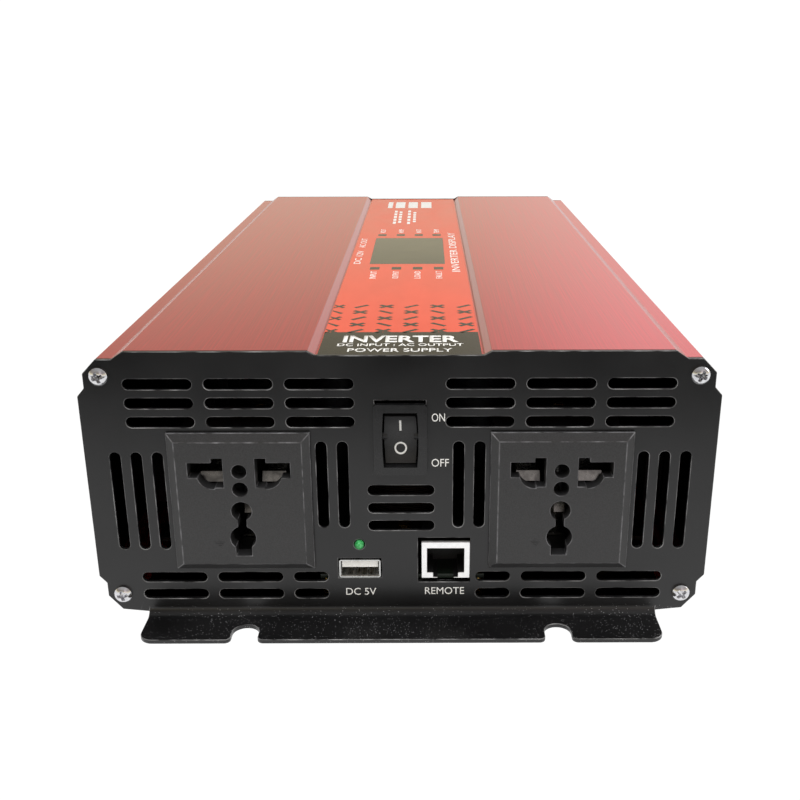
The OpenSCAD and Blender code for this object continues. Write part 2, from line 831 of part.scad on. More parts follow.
module fan_impeller() {
  rod_y(0, 0, 1.5, -16, -0.6);
  difference() {
    rod_y(0, 0, fan_hub, -19, -3.2);
    rod_y(0, 0, fan_hub - 1.6, -17, -3);
  }
  rod_y(0, 0, 3, -17.5, -15);
  intersection() {
    difference() {
      rod_y(0, 0, fan_bore - 1, -18.6, -3.6);
      rod_y(0, 0, fan_hub - 0.4, -19, -3);
    }
    union() {
      for (i = [0:blade_count - 1])
        rotate([0, i * 360 / blade_count, 0]) translate([0, -11, 0]) rotate([38, 0, 0])
          block([8, -0.7, -14], [fan_bore + 2, 0.7, 14]);
    }
  }
}

module fan_at(x) {
  translate([x, fan_y, mid_z]) children();
}

module left_fan_frame() {
  color([0.07, 0.07, 0.07])
  fan_at(-fan_x) fan_frame();
}

module right_fan_frame() {
  color([0.07, 0.07, 0.07])
  fan_at(fan_x) fan_frame();
}

module left_fan_impeller() {
  color([0.1, 0.1, 0.1])
  fan_at(-fan_x) fan_impeller();
}

module right_fan_impeller() {
  color([0.1, 0.1, 0.1])
  fan_at(fan_x) fan_impeller();
}

module fan_stators() {
  color([0.75, 0.4, 0.2])
  for (x = [-fan_x, fan_x])
    fan_at(x) difference() {
      rod_y(0, 0, 9.4, -13, -3.5);
      rod_y(0, 0, 3.25, -14, -3);
    }
}

// A wire finger guard on the outside of the rear panel, with four eyes for the screws.
module fan_guard() {
  wire = 0.9;
  eye = fan_size / 2 - 5;
  for (r = [8, 14.5, 21, 27.5])
    translate([0, 2.3, 0]) rotate([90, 0, 0]) rotate_extrude()
      translate([r, 0]) circle(r = wire);
  for (a = [45:90:315])
    rotate([0, a, 0]) {
      translate([7.5, wire, 0]) rotate([0, 90, 0])
        cylinder(r = wire, h = eye * sqrt(2) - 10.4);
      translate([eye * sqrt(2), 0, 0]) difference() {
        rod_y(0, 0, 3.9, 0, 2 * wire);
        rod_y(0, 0, 2.1, -1, 3);
      }
    }
}

module fan_guards() {
  color([0.8, 0.8, 0.82])
  for (x = [-fan_x, fan_x])
    translate([x, rear_y, mid_z]) fan_guard();
}

module fan_screws() {
  color([0.8, 0.8, 0.82])
  translate([0, rear_y + 1.8, 0]) mirror([0, 1, 0]) at_xz(fan_holes)
    pan_screw(3.6, 2.4, 2, 1.8 + sheet + fan_deep + 4.5);
}

module fan_nuts() {
  color([0.8, 0.8, 0.82])
  at_xz(fan_holes) difference() {
    along_y(fan_y - fan_deep - 3.2, fan_y - fan_deep) circle(d = 8.1, $fn = 6);
    rod_y(0, 0, 2 + bore_gap, fan_y - fan_deep - 4, fan_y - fan_deep + 1);
  }
}

// ---------------------------------------------------------------- battery terminals

module at_stud(x) {
  translate([x, rear_y, mid_z]) children();
}

// Inside stack, measured from the inner face of the rear panel.
strap_y = -sheet - inner_pad_t;

// Start of each stud's free end, just beyond the nut at rest.
free_y = flange_t + collar_t + washer_t + nut_t + 1.2;

module battery_studs() {
  color([0.82, 0.68, 0.38])
  for (x = [-stud_x, stud_x])
    at_stud(x) {
      difference() {
        rod_y(0, 0, stud_r, strap_y - strap_t - nut_t - 2.5, stud_out - 0.8);
        // narrow groove where the free end of the stud starts
        difference() {
          rod_y(0, 0, stud_r + 1, free_y - 0.5, free_y);
          rod_y(0, 0, stud_r - 0.35, free_y - 1, free_y + 1);
        }
      }
      rod_y(0, 0, stud_r - 0.8, stud_out - 1, stud_out);
      along_y(flange_t, flange_t + collar_t) circle(r = 7, $fn = 6);
    }
}

module terminal_bush(x) {
  at_stud(x) difference() {
    union() {
      rod_y(0, 0, 12, 0, flange_t - 1);
      rod_y(0, 0, 11, flange_t - 1, flange_t);
      rod_y(0, 0, 7.3, -sheet, 0);
    }
    rod_y(0, 0, stud_r, -sheet - 1, flange_t + 1);
  }
}

module positive_terminal_bush() {
  color([0.8, 0.08, 0.08])
  terminal_bush(stud_x);
}

module negative_terminal_bush() {
  color([0.06, 0.06, 0.06])
  terminal_bush(-stud_x);
}

module terminal_pads() {
  color([0.15, 0.15, 0.15])
  for (x = [-stud_x, stud_x])
    at_stud(x) difference() {
      rod_y(0, 0, 11, strap_y, -sheet);
      rod_y(0, 0, stud_r, strap_y - 1, 0);
    }
}

module terminal_washer(x) {
  y0 = flange_t + collar_t + 0.3;
  color([0.8, 0.8, 0.82])
  at_stud(x) difference() {
    rod_y(0, 0, 8, y0, y0 + washer_t);
    rod_y(0, 0, stud_r + bore_gap, y0 - 1, y0 + washer_t + 1);
  }
}

module positive_terminal_washer() {
  terminal_washer(stud_x);
}

module negative_terminal_washer() {
  terminal_washer(-stud_x);
}

module terminal_nut(x) {
  y0 = flange_t + collar_t + washer_t + 0.6;
  color([0.85, 0.72, 0.4])
  at_stud(x) difference() {
    intersection() {
      along_y(y0, y0 + nut_t) circle(d = 15, $fn = 6);
      rod_y(0, 0, 7.2, y0, y0 + nut_t);
    }
    rod_y(0, 0, stud_r + bore_gap, y0 - 1, y0 + nut_t + 1);
  }
}

module positive_terminal_nut() {
  terminal_nut(stud_x);
}

module negative_terminal_nut() {
  terminal_nut(-stud_x);
}

module inner_terminal_nuts() {
  y1 = strap_y - strap_t;
  color([0.85, 0.72, 0.4])
  for (x = [-stud_x, stud_x])
    at_stud(x) difference() {
      along_y(y1 - nut_t, y1) circle(d = 15, $fn = 6);
      rod_y(0, 0, stud_r, y1 - nut_t - 1, y1 + 1);
    }
}

// Copper straps from the studs down and forward on to the main board.
module battery_straps() {
  y1 = rear_y + strap_y;
  color([0.8, 0.45, 0.25])
  for (x = [-stud_x, stud_x]) difference() {
    union() {
      block([x - 9, y1 - strap_t, board_top], [x + 9, y1, mid_z + 9]);
      block([x - 9, y1 - 42, board_top], [x + 9, y1, board_top + strap_t]);
    }
    rod_y(x, mid_z, stud_r + bore_gap, y1 - 5, y1 + 1);
  }
}

module ground_screw() {
  color([0.8, 0.7, 0.4])
  translate([0, 0, sheet + 14]) {
    rod_y(0, 0, 3, shell_y1 - 8, rear_y + 8);
    difference() {
      rod_y(0, 0, 6, rear_y, rear_y + 1.2);
      rod_y(0, 0, 2.9, rear_y - 1, rear_y + 2);
    }
    along_y(rear_y + 1.2, rear_y + 5.4) circle(d = 11.5, $fn = 6);
    along_y(shell_y1 - 5, shell_y1) circle(d = 11.5, $fn = 6);
  }
}

// ---------------------------------------------------------------- boards and power parts

board_y0 = front_y + 36;
board_y1 = front_y + 312;
board_half = hw - 11.3;
post_places = [for (x = [-74, 0, 74]) for (y = [board_y0 + 8, (board_y0 + board_y1) / 2,
  board_y1 - 8]) [x, y]];

module main_board() {
  color([0.05, 0.35, 0.15])
  difference() {
    block([-board_half, board_y0, board_z], [board_half, board_y1, board_top]);
    for (p = post_places)
      translate([p[0], p[1], board_z - 1]) cylinder(r = 1.8, h = 4);
  }
}

// Brass posts with screws, under the main board and under the port board.
module board_posts() {
  color([0.8, 0.7, 0.35])
  for (p = post_places)
    translate([p[0], p[1], 0]) {
      translate([0, 0, floor_z]) cylinder(d = 6.4, h = board_z - floor_z, $fn = 6);
      translate([0, 0, board_z]) cylinder(r = 1.5, h = board_t);
      translate([0, 0, board_top]) cylinder(r = 2.8, h = 1.8);
    }
  color([0.8, 0.7, 0.35])
  for (sx = [-1, 1])
    for (y = [7, 27])
      translate([sx * 24.7, front_y + y, 0]) {
        translate([0, 0, floor_z]) cylinder(d = 4.6, h = io_top - 1.6 - floor_z, $fn = 6);
        translate([0, 0, io_top - 1.6]) cylinder(r = 1.5, h = 1.6);
        translate([0, 0, io_top]) cylinder(r = 2.1, h = 1.6);
      }
}

core_places = [[-52, front_y + 238], [0, front_y + 238], [52, front_y + 238]];

// A ferrite core pair: two side legs joined over and under the winding.
module transformer_cores() {
  color([0.2, 0.2, 0.21])
  for (p = core_places)
    translate([p[0], p[1], board_top]) difference() {
      block([-22, -8, 3], [22, 8, 42]);
      block([-15.5, -9, 10], [-6.5, 9, 35]);
      block([6.5, -9, 10], [15.5, 9, 35]);
    }
}

module transformer_windings() {
  color([0.75, 0.45, 0.2])
  for (p = core_places)
    translate([p[0], p[1], board_top]) {
      difference() {
        block([-15, -17, 10.5], [15, 17, 34.5]);
        block([-6.5, -8, 10], [6.5, 8, 35]);
      }
      // bobbin feet down to the board
      for (y = [-16, 13])
        block([-14, y, 0], [14, y + 3, 10.5]);
    }
}

module capacitors() {
  color([0.12, 0.14, 0.3]) {
    for (x = [-66, -44, -22, 22, 44, 66])
      translate([x, front_y + 281, board_top]) cylinder(r = 8, h = 27);
    for (x = [-30, 0, 30])
      translate([x, front_y + 110, board_top]) cylinder(r = 12.5, h = 42);
  }
}

// A wound ring standing on the board.
module output_choke() {
  color([0.7, 0.5, 0.2])
  translate([0, front_y + 70, board_top]) {
    difference() {
      cylinder(r = 17, h = 15);
      translate([0, 0, -1]) cylinder(r = 8, h = 17);
    }
  }
}

module heatsink_bars() {
  color([0.75, 0.76, 0.78])
  for (s = [-1, 1])
    mirror([s > 0 ? 0 : 1, 0, 0])
      block([bar_face, front_y + 55, 17], [hw - wall, front_y + 300, 41]);
}

transistor_ys = [for (i = [0:7]) front_y + 74 + i * 30];

module power_transistors() {
  color([0.1, 0.1, 0.1])
  for (s = [-1, 1])
    mirror([s > 0 ? 0 : 1, 0, 0])
      for (y = transistor_ys) {
        block([bar_face - 4.6, y - 5, 17], [bar_face, y + 5, 32]);
        for (k = [-1, 0, 1])
          block([bar_face - 3.4, y + k * 2.54 - 0.4, board_top],
            [bar_face - 2.8, y + k * 2.54 + 0.4, 17]);
      }
}

// A lead from a contact tail, back and then down to the main board.
module lead(x, z, y0, y1) {
  rod_y(x, z, 1.6, y0, y1);
  translate([x, y1, z]) sphere(r = 1.6);
  translate([x, y1, board_top]) cylinder(r = 1.6, h = z - board_top);
}

module output_leads() {
  y0 = front_y + socket_deep + 7;
  color([0.45, 0.25, 0.1])
  for (x = [-socket_x, socket_x]) {
    for (s = [-1, 1])
      lead(x + s * 11, socket_z + 5.6, y0, y0 + 6 + s);
    lead(x, socket_z - 18.2, y0, y0 + 6);
  }
}

upper_shell();
lower_shell();
front_panel();
rear_panel();
front_panel_screws();
rear_panel_screws();
label_overlay();
display_window();
display_glass();
display_frame();
display_board();
display_posts();
left_socket_faceplate();
right_socket_faceplate();
left_socket_housing();
right_socket_housing();
live_contacts();
neutral_contacts();
earth_contacts();
switch_housing();
switch_terminals();
switch_rocker();
switch_contact_bar();
usb_shell();
usb_tongue();
usb_contacts();
led_lens();
led_legs();
network_jack_shield();
network_jack_insert();
network_jack_contacts();
io_board();
left_fan_frame();
right_fan_frame();
fan_stators();
left_fan_impeller();
right_fan_impeller();
fan_guards();
fan_screws();
fan_nuts();
battery_studs();
positive_terminal_bush();
negative_terminal_bush();
terminal_pads();
positive_terminal_washer();
negative_terminal_washer();
positive_terminal_nut();
negative_terminal_nut();
inner_terminal_nuts();
battery_straps();
ground_screw();
main_board();
board_posts();
transformer_cores();
transformer_windings();
capacitors();
output_choke();
heatsink_bars();
power_transistors();
output_leads();
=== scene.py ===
import math

import bmesh
import bpy
from mathutils import Matrix, Vector


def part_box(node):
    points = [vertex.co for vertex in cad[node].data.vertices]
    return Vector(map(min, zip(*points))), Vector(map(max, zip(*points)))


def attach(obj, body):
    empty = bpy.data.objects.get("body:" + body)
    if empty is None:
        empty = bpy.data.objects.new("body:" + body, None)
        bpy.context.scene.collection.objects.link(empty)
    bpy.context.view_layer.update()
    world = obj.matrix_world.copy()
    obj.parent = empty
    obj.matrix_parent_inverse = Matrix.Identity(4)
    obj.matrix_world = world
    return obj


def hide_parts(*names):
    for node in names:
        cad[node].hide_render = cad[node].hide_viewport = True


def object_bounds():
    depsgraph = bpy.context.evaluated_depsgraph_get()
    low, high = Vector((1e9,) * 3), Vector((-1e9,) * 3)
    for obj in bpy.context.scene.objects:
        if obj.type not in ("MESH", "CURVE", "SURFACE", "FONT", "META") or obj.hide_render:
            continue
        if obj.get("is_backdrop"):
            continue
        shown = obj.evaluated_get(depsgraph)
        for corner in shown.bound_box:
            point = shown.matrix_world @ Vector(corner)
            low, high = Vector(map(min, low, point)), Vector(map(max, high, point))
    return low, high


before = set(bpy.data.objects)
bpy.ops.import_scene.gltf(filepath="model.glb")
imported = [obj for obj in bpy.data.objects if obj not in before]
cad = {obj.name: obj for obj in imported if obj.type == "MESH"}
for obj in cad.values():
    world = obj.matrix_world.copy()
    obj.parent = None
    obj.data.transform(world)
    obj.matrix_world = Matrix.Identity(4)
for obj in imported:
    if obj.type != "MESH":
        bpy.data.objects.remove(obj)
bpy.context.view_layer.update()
mm = 0.001

# ------------------------------------------------------------------ camera
# A short portrait lens a hand's breadth above the lid, looking down the case
# from in front of the switch, with the frame slid a little to one side.
panel_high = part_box("front_panel")[1]
sheet = 1.5 * mm                       # thickness of both end panels
face_y = panel_high.y - sheet          # outer face of the front panel
roof_z = panel_high.z                  # top of the raised lands

lens = bpy.data.cameras.new("portrait_lens")
lens.sensor_width = 36.0
lens.lens = 44.766
lens.shift_x = -0.035295
lens.clip_start = 0.01
lens.clip_end = 60.0
camera = bpy.data.objects.new("camera", lens)
camera.location = (8.129 * mm, face_y - 291.205 * mm, roof_z + 86.361 * mm)
camera.rotation_euler = (math.radians(70.678), math.radians(0.088), math.radians(-0.158))
bpy.context.scene.collection.objects.link(camera)
bpy.context.scene.camera = camera
bpy.context.scene.view_settings.view_transform = "Standard"


# ------------------------------------------------------------------ studio
# White card under and far behind the case, and a white room whose light falls
# off and warms towards the ceiling, so that the lid carries a soft gradient.
def to_linear(hex_code):
    """An sRGB colour such as #A03040 as the linear values that shaders take."""
    out = []
    for i in (1, 3, 5):
        c = int(hex_code[i:i + 2], 16) / 255
        out.append(c / 12.92 if c <= 0.04045 else ((c + 0.055) / 1.055) ** 2.4)
    return (*out, 1.0)


def add_node(tree, kind, settings=None, inputs=None):
    """One shader node with its settings, and its inputs set or linked."""
    n = tree.nodes.new(kind)
    for key, value in (settings or {}).items():
        setattr(n, key, value)
    for key, value in (inputs or {}).items():
        if isinstance(value, bpy.types.NodeSocket):
            tree.links.new(value, n.inputs[key])
        else:
            n.inputs[key].default_value = value
    return n


def new_finish(name, colour, rough, metal=0.0, **sockets):
    """A material with one Principled shader; returns it, its tree and the shader."""
    finish = bpy.data.materials.new(name)
    finish.use_nodes = True
    tree = finish.node_tree
    tree.nodes.clear()
    shader = add_node(tree, "ShaderNodeBsdfPrincipled", None,
                      {"Base Color": to_linear(colour), "Roughness": rough, "Metallic": metal})
    for key, value in sockets.items():
        shader.inputs[key.replace("_", " ")].default_value = value
    add_node(tree, "ShaderNodeOutputMaterial", None, {"Surface": shader.outputs["BSDF"]})
    return finish, tree, shader


world = bpy.data.worlds.new("white_room")
world.use_nodes = True
room = world.node_tree
room.nodes.clear()
way = add_node(room, "ShaderNodeTexCoord")
split = add_node(room, "ShaderNodeSeparateXYZ", None, {"Vector": way.outputs["Generated"]})
white = (1.1, 1.1, 1.1)
ceiling = (0.45, 0.45, 0.45)
left_wall = ((0.055, white), (0.12, (0.98, 0.84, 0.60)), (0.20, (0.92, 0.86, 0.58)),
             (0.27, (0.36, 0.32, 0.25)), (0.40, (0.30, 0.26, 0.23)), (0.95, ceiling))
right_wall = ((0.055, white), (0.12, (1.02, 0.90, 0.74)), (0.20, (1.10, 0.96, 0.84)),
              (0.27, (1.15, 0.98, 1.00)), (0.40, (0.80, 0.70, 0.70)), (0.95, ceiling))
sides = []
for tones in (left_wall, right_wall):
    climb = add_node(room, "ShaderNodeValToRGB", None, {"Fac": split.outputs["Z"]})
    bands = climb.color_ramp.elements
    while len(bands) < len(tones):
        bands.new(0.5)
    for band, (at, tone) in zip(bands, tones):
        band.position = at
        band.color = (*tone, 1.0)
    sides.append(climb.outputs["Color"])
across = add_node(room, "ShaderNodeMapRange", None,
                  {"Value": split.outputs["X"], "From Min": 0.02, "From Max": 0.22})
fade = add_node(room, "ShaderNodeMapRange", None,
                {"Value": split.outputs["X"], "From Min": 0.30, "From Max": 0.60,
                 "To Min": 1.0, "To Max": 0.25})
share = add_node(room, "ShaderNodeMath", {"operation": "MULTIPLY"},
                 {0: across.outputs["Result"], 1: fade.outputs["Result"]})
both = add_node(room, "ShaderNodeMix", {"data_type": "RGBA"},
                {"Factor": share.outputs["Value"], "A": sides[0], "B": sides[1]})
seen = add_node(room, "ShaderNodeLightPath")
plain = add_node(room, "ShaderNodeMix", {"data_type": "RGBA"},
                 {"Factor": seen.outputs["Is Camera Ray"], "A": both.outputs["Result"], "B": (*white, 1.0)})
glow = add_node(room, "ShaderNodeBackground", None, {"Color": plain.outputs["Result"], "Strength": 1.0})
add_node(room, "ShaderNodeOutputWorld", None, {"Surface": glow.outputs["Background"]})
bpy.context.scene.world = world


def lay(name, corners, z):
    """A flat stage card through its corners; returns the object."""
    sheet_mesh = bpy.data.meshes.new(name)
    sheet_mesh.from_pydata([(x, y, z) for x, y in corners], [], [(0, 1, 2, 3)])
    o = bpy.data.objects.new(name, sheet_mesh)
    bpy.context.scene.collection.objects.link(o)
    return o


floor = lay("white_card", ((-14, -14), (14, -14), (14, 30), (-14, 30)), -0.0002)
floor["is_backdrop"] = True
paper, tree, shader = new_finish("lit_white_card", "#202020", 0.9, 0.0, Specular_IOR_Level=0.0)
shader.inputs["Emission Color"].default_value = (1.0, 1.0, 1.0, 1.0)
shader.inputs["Emission Strength"].default_value = 1.04
# seen from below the card is clear, so that it doesn't hide the underside
side = add_node(tree, "ShaderNodeNewGeometry")
gone = add_node(tree, "ShaderNodeBsdfTransparent")
one_sided = add_node(tree, "ShaderNodeMixShader", None,
                     {0: side.outputs["Backfacing"], 1: shader.outputs["BSDF"], 2: gone.outputs["BSDF"]})
out = next(n for n in tree.nodes if n.type == "OUTPUT_MATERIAL")
tree.links.new(one_sided.outputs["Shader"], out.inputs["Surface"])
floor.data.materials.append(paper)

# a black flag on the card in front of the case, seen by reflections only, keeps
# the front panel dark
flag = lay("black_flag", ((-2.0, -5.0), (2.0, -5.0), (0.9, -0.37), (-0.9, -0.37)), 0.001)
flag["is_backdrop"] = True
flag.visible_camera = False
velvet = new_finish("black_flag_velvet", "#0A0A0A", 0.9, 0.0, Specular_IOR_Level=0.0)[0]
flag.data.materials.append(velvet)


def softbox(name, place, aim, width, height, watts, mirrored=True):
    """A white rectangular lamp aimed at a point, hidden from the camera."""
    lamp = bpy.data.lights.new(name, "AREA")
    lamp.shape = "RECTANGLE"
    lamp.size, lamp.size_y = width, height
    lamp.energy = watts
    o = bpy.data.objects.new(name, lamp)
    o.location = place
    o.rotation_euler = (Vector(aim) - Vector(place)).to_track_quat("-Z", "Y").to_euler()
    o.visible_camera = False
    o.visible_glossy = mirrored
    bpy.context.scene.collection.objects.link(o)


softbox("overhead_softbox", (0.0, -0.34, 0.72), (0.0, -0.05, 0.05), 0.6, 0.5, 5.0, mirrored=False)
softbox("right_softbox", (1.1, 0.1, 0.7), (0.0, 0.0, 0.05), 0.8, 0.8, 4.0)

# ------------------------------------------------------------------ case shells
# Two long aluminium extrusions that lock along the sides. Brushed along their
# length, then anodised wine red, with every arris lightly broken.
# Brushed anodised aluminium: long hair-fine streaks, a dye deep enough that the
# metal only turns pale where the light grazes it.
def soften(o, width, segments):
    """Breaks the sharp edges of a made part and evens its shading."""
    weld = o.modifiers.new("weld", "WELD")
    weld.merge_threshold = 1e-6
    flat = o.modifiers.new("flat_faces", "DECIMATE")
    flat.decimate_type = "DISSOLVE"
    flat.angle_limit = math.radians(0.5)
    edge = o.modifiers.new("broken_edges", "BEVEL")
    edge.width = width
    edge.segments = segments
    edge.limit_method = "ANGLE"
    edge.angle_limit = math.radians(28.0)
    edge.use_clamp_overlap = True
    shade = o.modifiers.new("even_shading", "WEIGHTED_NORMAL")
    shade.weight = 50


def dress(name, finish, width=0.15 * mm, segments=2, rim=None, clamp=True):
    """Gives a CAD node its finish and broken edges, which may have a finish of their own.

    Edges too close together for a clamped bevel go unclamped, and their points
    are then held inside the node's own box.
    """
    o = cad[name]
    o.data.materials.clear()
    o.data.materials.append(finish)
    if width:
        soften(o, width, segments)
    if not clamp:
        o.modifiers["broken_edges"].use_clamp_overlap = False
        tree = bpy.data.node_groups.new("kept_in_box", "GeometryNodeTree")
        for way in ("INPUT", "OUTPUT"):
            tree.interface.new_socket("Geometry", in_out=way, socket_type="NodeSocketGeometry")
        low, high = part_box(name)
        above = add_node(tree, "ShaderNodeVectorMath", {"operation": "MAXIMUM"},
                         {0: add_node(tree, "GeometryNodeInputPosition").outputs[0], 1: low})
        within = add_node(tree, "ShaderNodeVectorMath", {"operation": "MINIMUM"},
                          {0: above.outputs["Vector"], 1: high})
        put = add_node(tree, "GeometryNodeSetPosition", None,
                       {"Geometry": add_node(tree, "NodeGroupInput").outputs[0],
                        "Position": within.outputs["Vector"]})
        add_node(tree, "NodeGroupOutput", None, {0: put.outputs["Geometry"]})
        o.modifiers.new("kept_in_box", "NODES").node_group = tree
    if rim:
        o.data.materials.append(rim)
        o.modifiers["broken_edges"].material = 1


def maths(tree, operation, *values):
    """The result of one sum or test on numbers, each fixed or from a socket."""
    return add_node(tree, "ShaderNodeMath", {"operation": operation},
                    dict(enumerate(values))).outputs["Value"]


def position(tree):
    """The X, Y and Z sockets of the shaded point's own place, in metres."""
    where = add_node(tree, "ShaderNodeTexCoord")
    return add_node(tree, "ShaderNodeSeparateXYZ", None, {"Vector": where.outputs["Object"]}).outputs


def blend(tree, factor, first, second):
    """The first colour where the factor is 0, the second where it is 1."""
    return add_node(tree, "ShaderNodeMix", {"data_type": "RGBA"},
                    {"Factor": factor, "A": first, "B": second}).outputs["Result"]


def stretched(tree, scale):
    """Object coordinates in metres times one scale for each axis."""
    where = add_node(tree, "ShaderNodeTexCoord")
    return add_node(tree, "ShaderNodeVectorMath", {"operation": "MULTIPLY"},
                    {0: where.outputs["Object"], 1: scale}).outputs["Vector"]


def ramp(tree, factor, low, high, start=0.3, stop=0.7):
    """A two-colour ramp between two sRGB colours."""
    r = add_node(tree, "ShaderNodeValToRGB", None, {"Fac": factor})
    r.color_ramp.elements[0].position = start
    r.color_ramp.elements[0].color = to_linear(low)
    r.color_ramp.elements[1].position = stop
    r.color_ramp.elements[1].color = to_linear(high)
    return r.outputs["Color"]


def spread(tree, factor, low, high):
    """A 0 to 1 factor carried to a range of plain numbers."""
    return add_node(tree, "ShaderNodeMapRange", None,
                    {"Value": factor, "To Min": low, "To Max": high}).outputs["Result"]


def mottle(tree, size, detail, roughness=0.5):
    """A noise pattern from 0 to 1 whose grains have one size, or a size along each axis."""
    sizes = size if isinstance(size, tuple) else (size,) * 3
    return add_node(tree, "ShaderNodeTexNoise", None,
                    {"Vector": stretched(tree, [1 / length for length in sizes]),
                     "Scale": 1.0, "Detail": detail, "Roughness": roughness}).outputs["Fac"]


def tone(tree, shader, pattern, low, high, start=0.3, stop=0.7):
    """Lets a pattern carry the finish's colour between two sRGB colours."""
    tree.links.new(ramp(tree, pattern, low, high, start, stop), shader.inputs["Base Color"])


def sheen(tree, shader, pattern, low, high):
    """Lets a pattern carry the finish's roughness between two values."""
    tree.links.new(spread(tree, pattern, low, high), shader.inputs["Roughness"])


def relief(tree, shader, height, depth, strength):
    """Bump from a height pattern; depth is the real height of its relief."""
    b = add_node(tree, "ShaderNodeBump", None,
                 {"Height": height, "Distance": depth, "Strength": strength})
    tree.links.new(b.outputs["Normal"], shader.inputs["Normal"])


# brush scratches lie 0.35 mm apart and run about 40 mm; the sealed film over the
# dye is clear. Faces that look up are painted a brighter red and the arrises, sides
# and bottom a darker one, a painted highlight; the inside of the shells is painted
# near black with no film, a painted shade.
film_weight = 0.8
anodised, tree, shader = new_finish("anodised_wine_red_aluminium_with_painted_light", "#F43F4E", 0.40, 1.0,
                                    Coat_Weight=film_weight, Coat_Roughness=0.22, Coat_IOR=1.5)
streak = mottle(tree, (0.35 * mm, 40 * mm, 0.35 * mm), 3.0)
at = position(tree)
wide = maths(tree, "ABSOLUTE", at["X"])
# painted shade: these masks mark the hollow inside the shells, which is painted near black
painted_shade_zones = []
for half, low, high in ((97.8, 16.5, 77.5), (88.0, 3.7, 88.9)):    # the hollow: half width, bottom, top
    inner = maths(tree, "LESS_THAN", wide, half * mm)
    above = maths(tree, "GREATER_THAN", at["Z"], low * mm)
    below = maths(tree, "LESS_THAN", at["Z"], high * mm)
    painted_shade_zones.append(maths(tree, "MULTIPLY", maths(tree, "MULTIPLY", inner, above), below))
painted_shade_inside = maths(tree, "MAXIMUM", *painted_shade_zones)
skyward = add_node(tree, "ShaderNodeTexCoord").outputs["Normal"]
facing = add_node(tree, "ShaderNodeSeparateXYZ", None, {"Vector": skyward})
# painted highlight: faces that look straight up are painted a brighter red than the arrises, sides and
# bottom
painted_top_light = add_node(tree, "ShaderNodeMapRange", None,
                   {"Value": facing.outputs["Z"], "From Min": 0.90, "From Max": 0.995})
dye_and_painted_top_light = blend(tree, painted_top_light.outputs["Result"],
            ramp(tree, streak, "#A5222E", "#BA2F3C"), ramp(tree, streak, "#E83443", "#FF4A58"))
# painted shade: the hollow is painted near black, and its clear film is taken off below
tree.links.new(blend(tree, painted_shade_inside, dye_and_painted_top_light, to_linear("#1C0808")), shader.inputs["Base Color"])
film_clear_of_painted_shade = maths(tree, "MAXIMUM", maths(tree, "SUBTRACT", film_weight, painted_shade_inside), 0.0)
tree.links.new(film_clear_of_painted_shade, shader.inputs["Coat Weight"])
sheen(tree, shader, streak, 0.30, 0.48)
relief(tree, shader, streak, 0.012 * mm, 0.5)
for shell in ("upper_shell", "lower_shell"):
    dress(shell, anodised, 0.3 * mm, 3)

# ------------------------------------------------------------------ end panels
# Front and rear panels of 1.5 mm steel, punched, then folded outwards at the
# bottom into slotted feet. Powder coated black.
# Satin powder coat: very dark, with a faint orange peel and, low down on the
# feet, small bright grains. Along every punched edge a paler grey is painted on
# in patches, a painted highlight.
coat, tree, shader = new_finish("satin_black_powder_coat", "#131314", 0.30, 0.0)
peel = mottle(tree, 0.7 * mm, 2.0)
cloud = mottle(tree, 28 * mm, 3.0)
dust = add_node(tree, "ShaderNodeTexVoronoi", None,
                {"Vector": stretched(tree, (1 / (0.9 * mm),) * 3), "Scale": 1.0})
low_down = add_node(tree, "ShaderNodeMapRange", None,
                    {"Value": position(tree)["Z"], "From Min": 6.5 * mm, "From Max": 3.0 * mm,
                     "To Min": 0.03, "To Max": 0.15})
patchy = maths(tree, "MULTIPLY", low_down.outputs["Result"], spread(tree, cloud, 0.3, 1.7))
speck = maths(tree, "LESS_THAN", dust.outputs["Distance"], patchy)
black = ramp(tree, cloud, "#0D0D0E", "#19191A")
tree.links.new(blend(tree, speck, black, to_linear("#747476")), shader.inputs["Base Color"])
sheen(tree, shader, cloud, 0.24, 0.38)
relief(tree, shader, peel, 0.02 * mm, 0.35)

# Painted highlight: a paler grey painted in patches on the broken edges of the punched panels
painted_edge_highlight, tree, shader = new_finish("painted_highlight_on_punched_edges", "#4A4A4B", 0.26, 0.0)
highlight_patches = mottle(tree, 5 * mm, 3.0)
tone(tree, shader, highlight_patches, "#1E1E1F", "#8A8A8B", 0.35, 0.72)
# the broken edges of both panels take the painted highlight as their second finish
for panel in ("front_panel", "rear_panel"):
    dress(panel, coat, 0.22 * mm, 2, rim=painted_edge_highlight, clamp=False)

# ------------------------------------------------------------------ panel screws
# M3 pan-head screws with a cross recess, one in each corner of both panels,
# turned into the screw channels of the shells.
# Bright nickel plate: mirror-like, with fine turning rings on the crown.
plated, tree, shader = new_finish("bright_nickel_plate", "#D9D9DB", 0.16, 1.0)
wear = mottle(tree, 1.5 * mm, 4.0)
sheen(tree, shader, wear, 0.10, 0.26)
tone(tree, shader, wear, "#C4C4C8", "#E6E6E8")


def show(name, verts, faces, finish, body="case", smooth=True):
    """A new mesh piece that rides on a body."""
    mesh = bpy.data.meshes.new(name)
    mesh.from_pydata([tuple(v) for v in verts], [], faces)
    mesh.validate()
    work = bmesh.new()
    work.from_mesh(mesh)
    bmesh.ops.remove_doubles(work, verts=work.verts, dist=1e-7)
    bmesh.ops.recalc_face_normals(work, faces=work.faces)
    work.to_mesh(mesh)
    work.free()
    if smooth:
        mesh.shade_smooth()
        mesh.set_sharp_from_angle(angle=math.radians(32))
    mesh.materials.append(finish)
    o = bpy.data.objects.new(name, mesh)
    bpy.context.scene.collection.objects.link(o)
    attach(o, body)
    return o


def set_down(parts, verts, faces, move):
    """Adds one shape, moved by a matrix, to a list of points and faces."""
    base = len(parts[0])
    parts[0].extend(tuple(move @ Vector(v)) for v in verts)
    parts[1].extend(tuple(base + i for i in f) for f in faces)


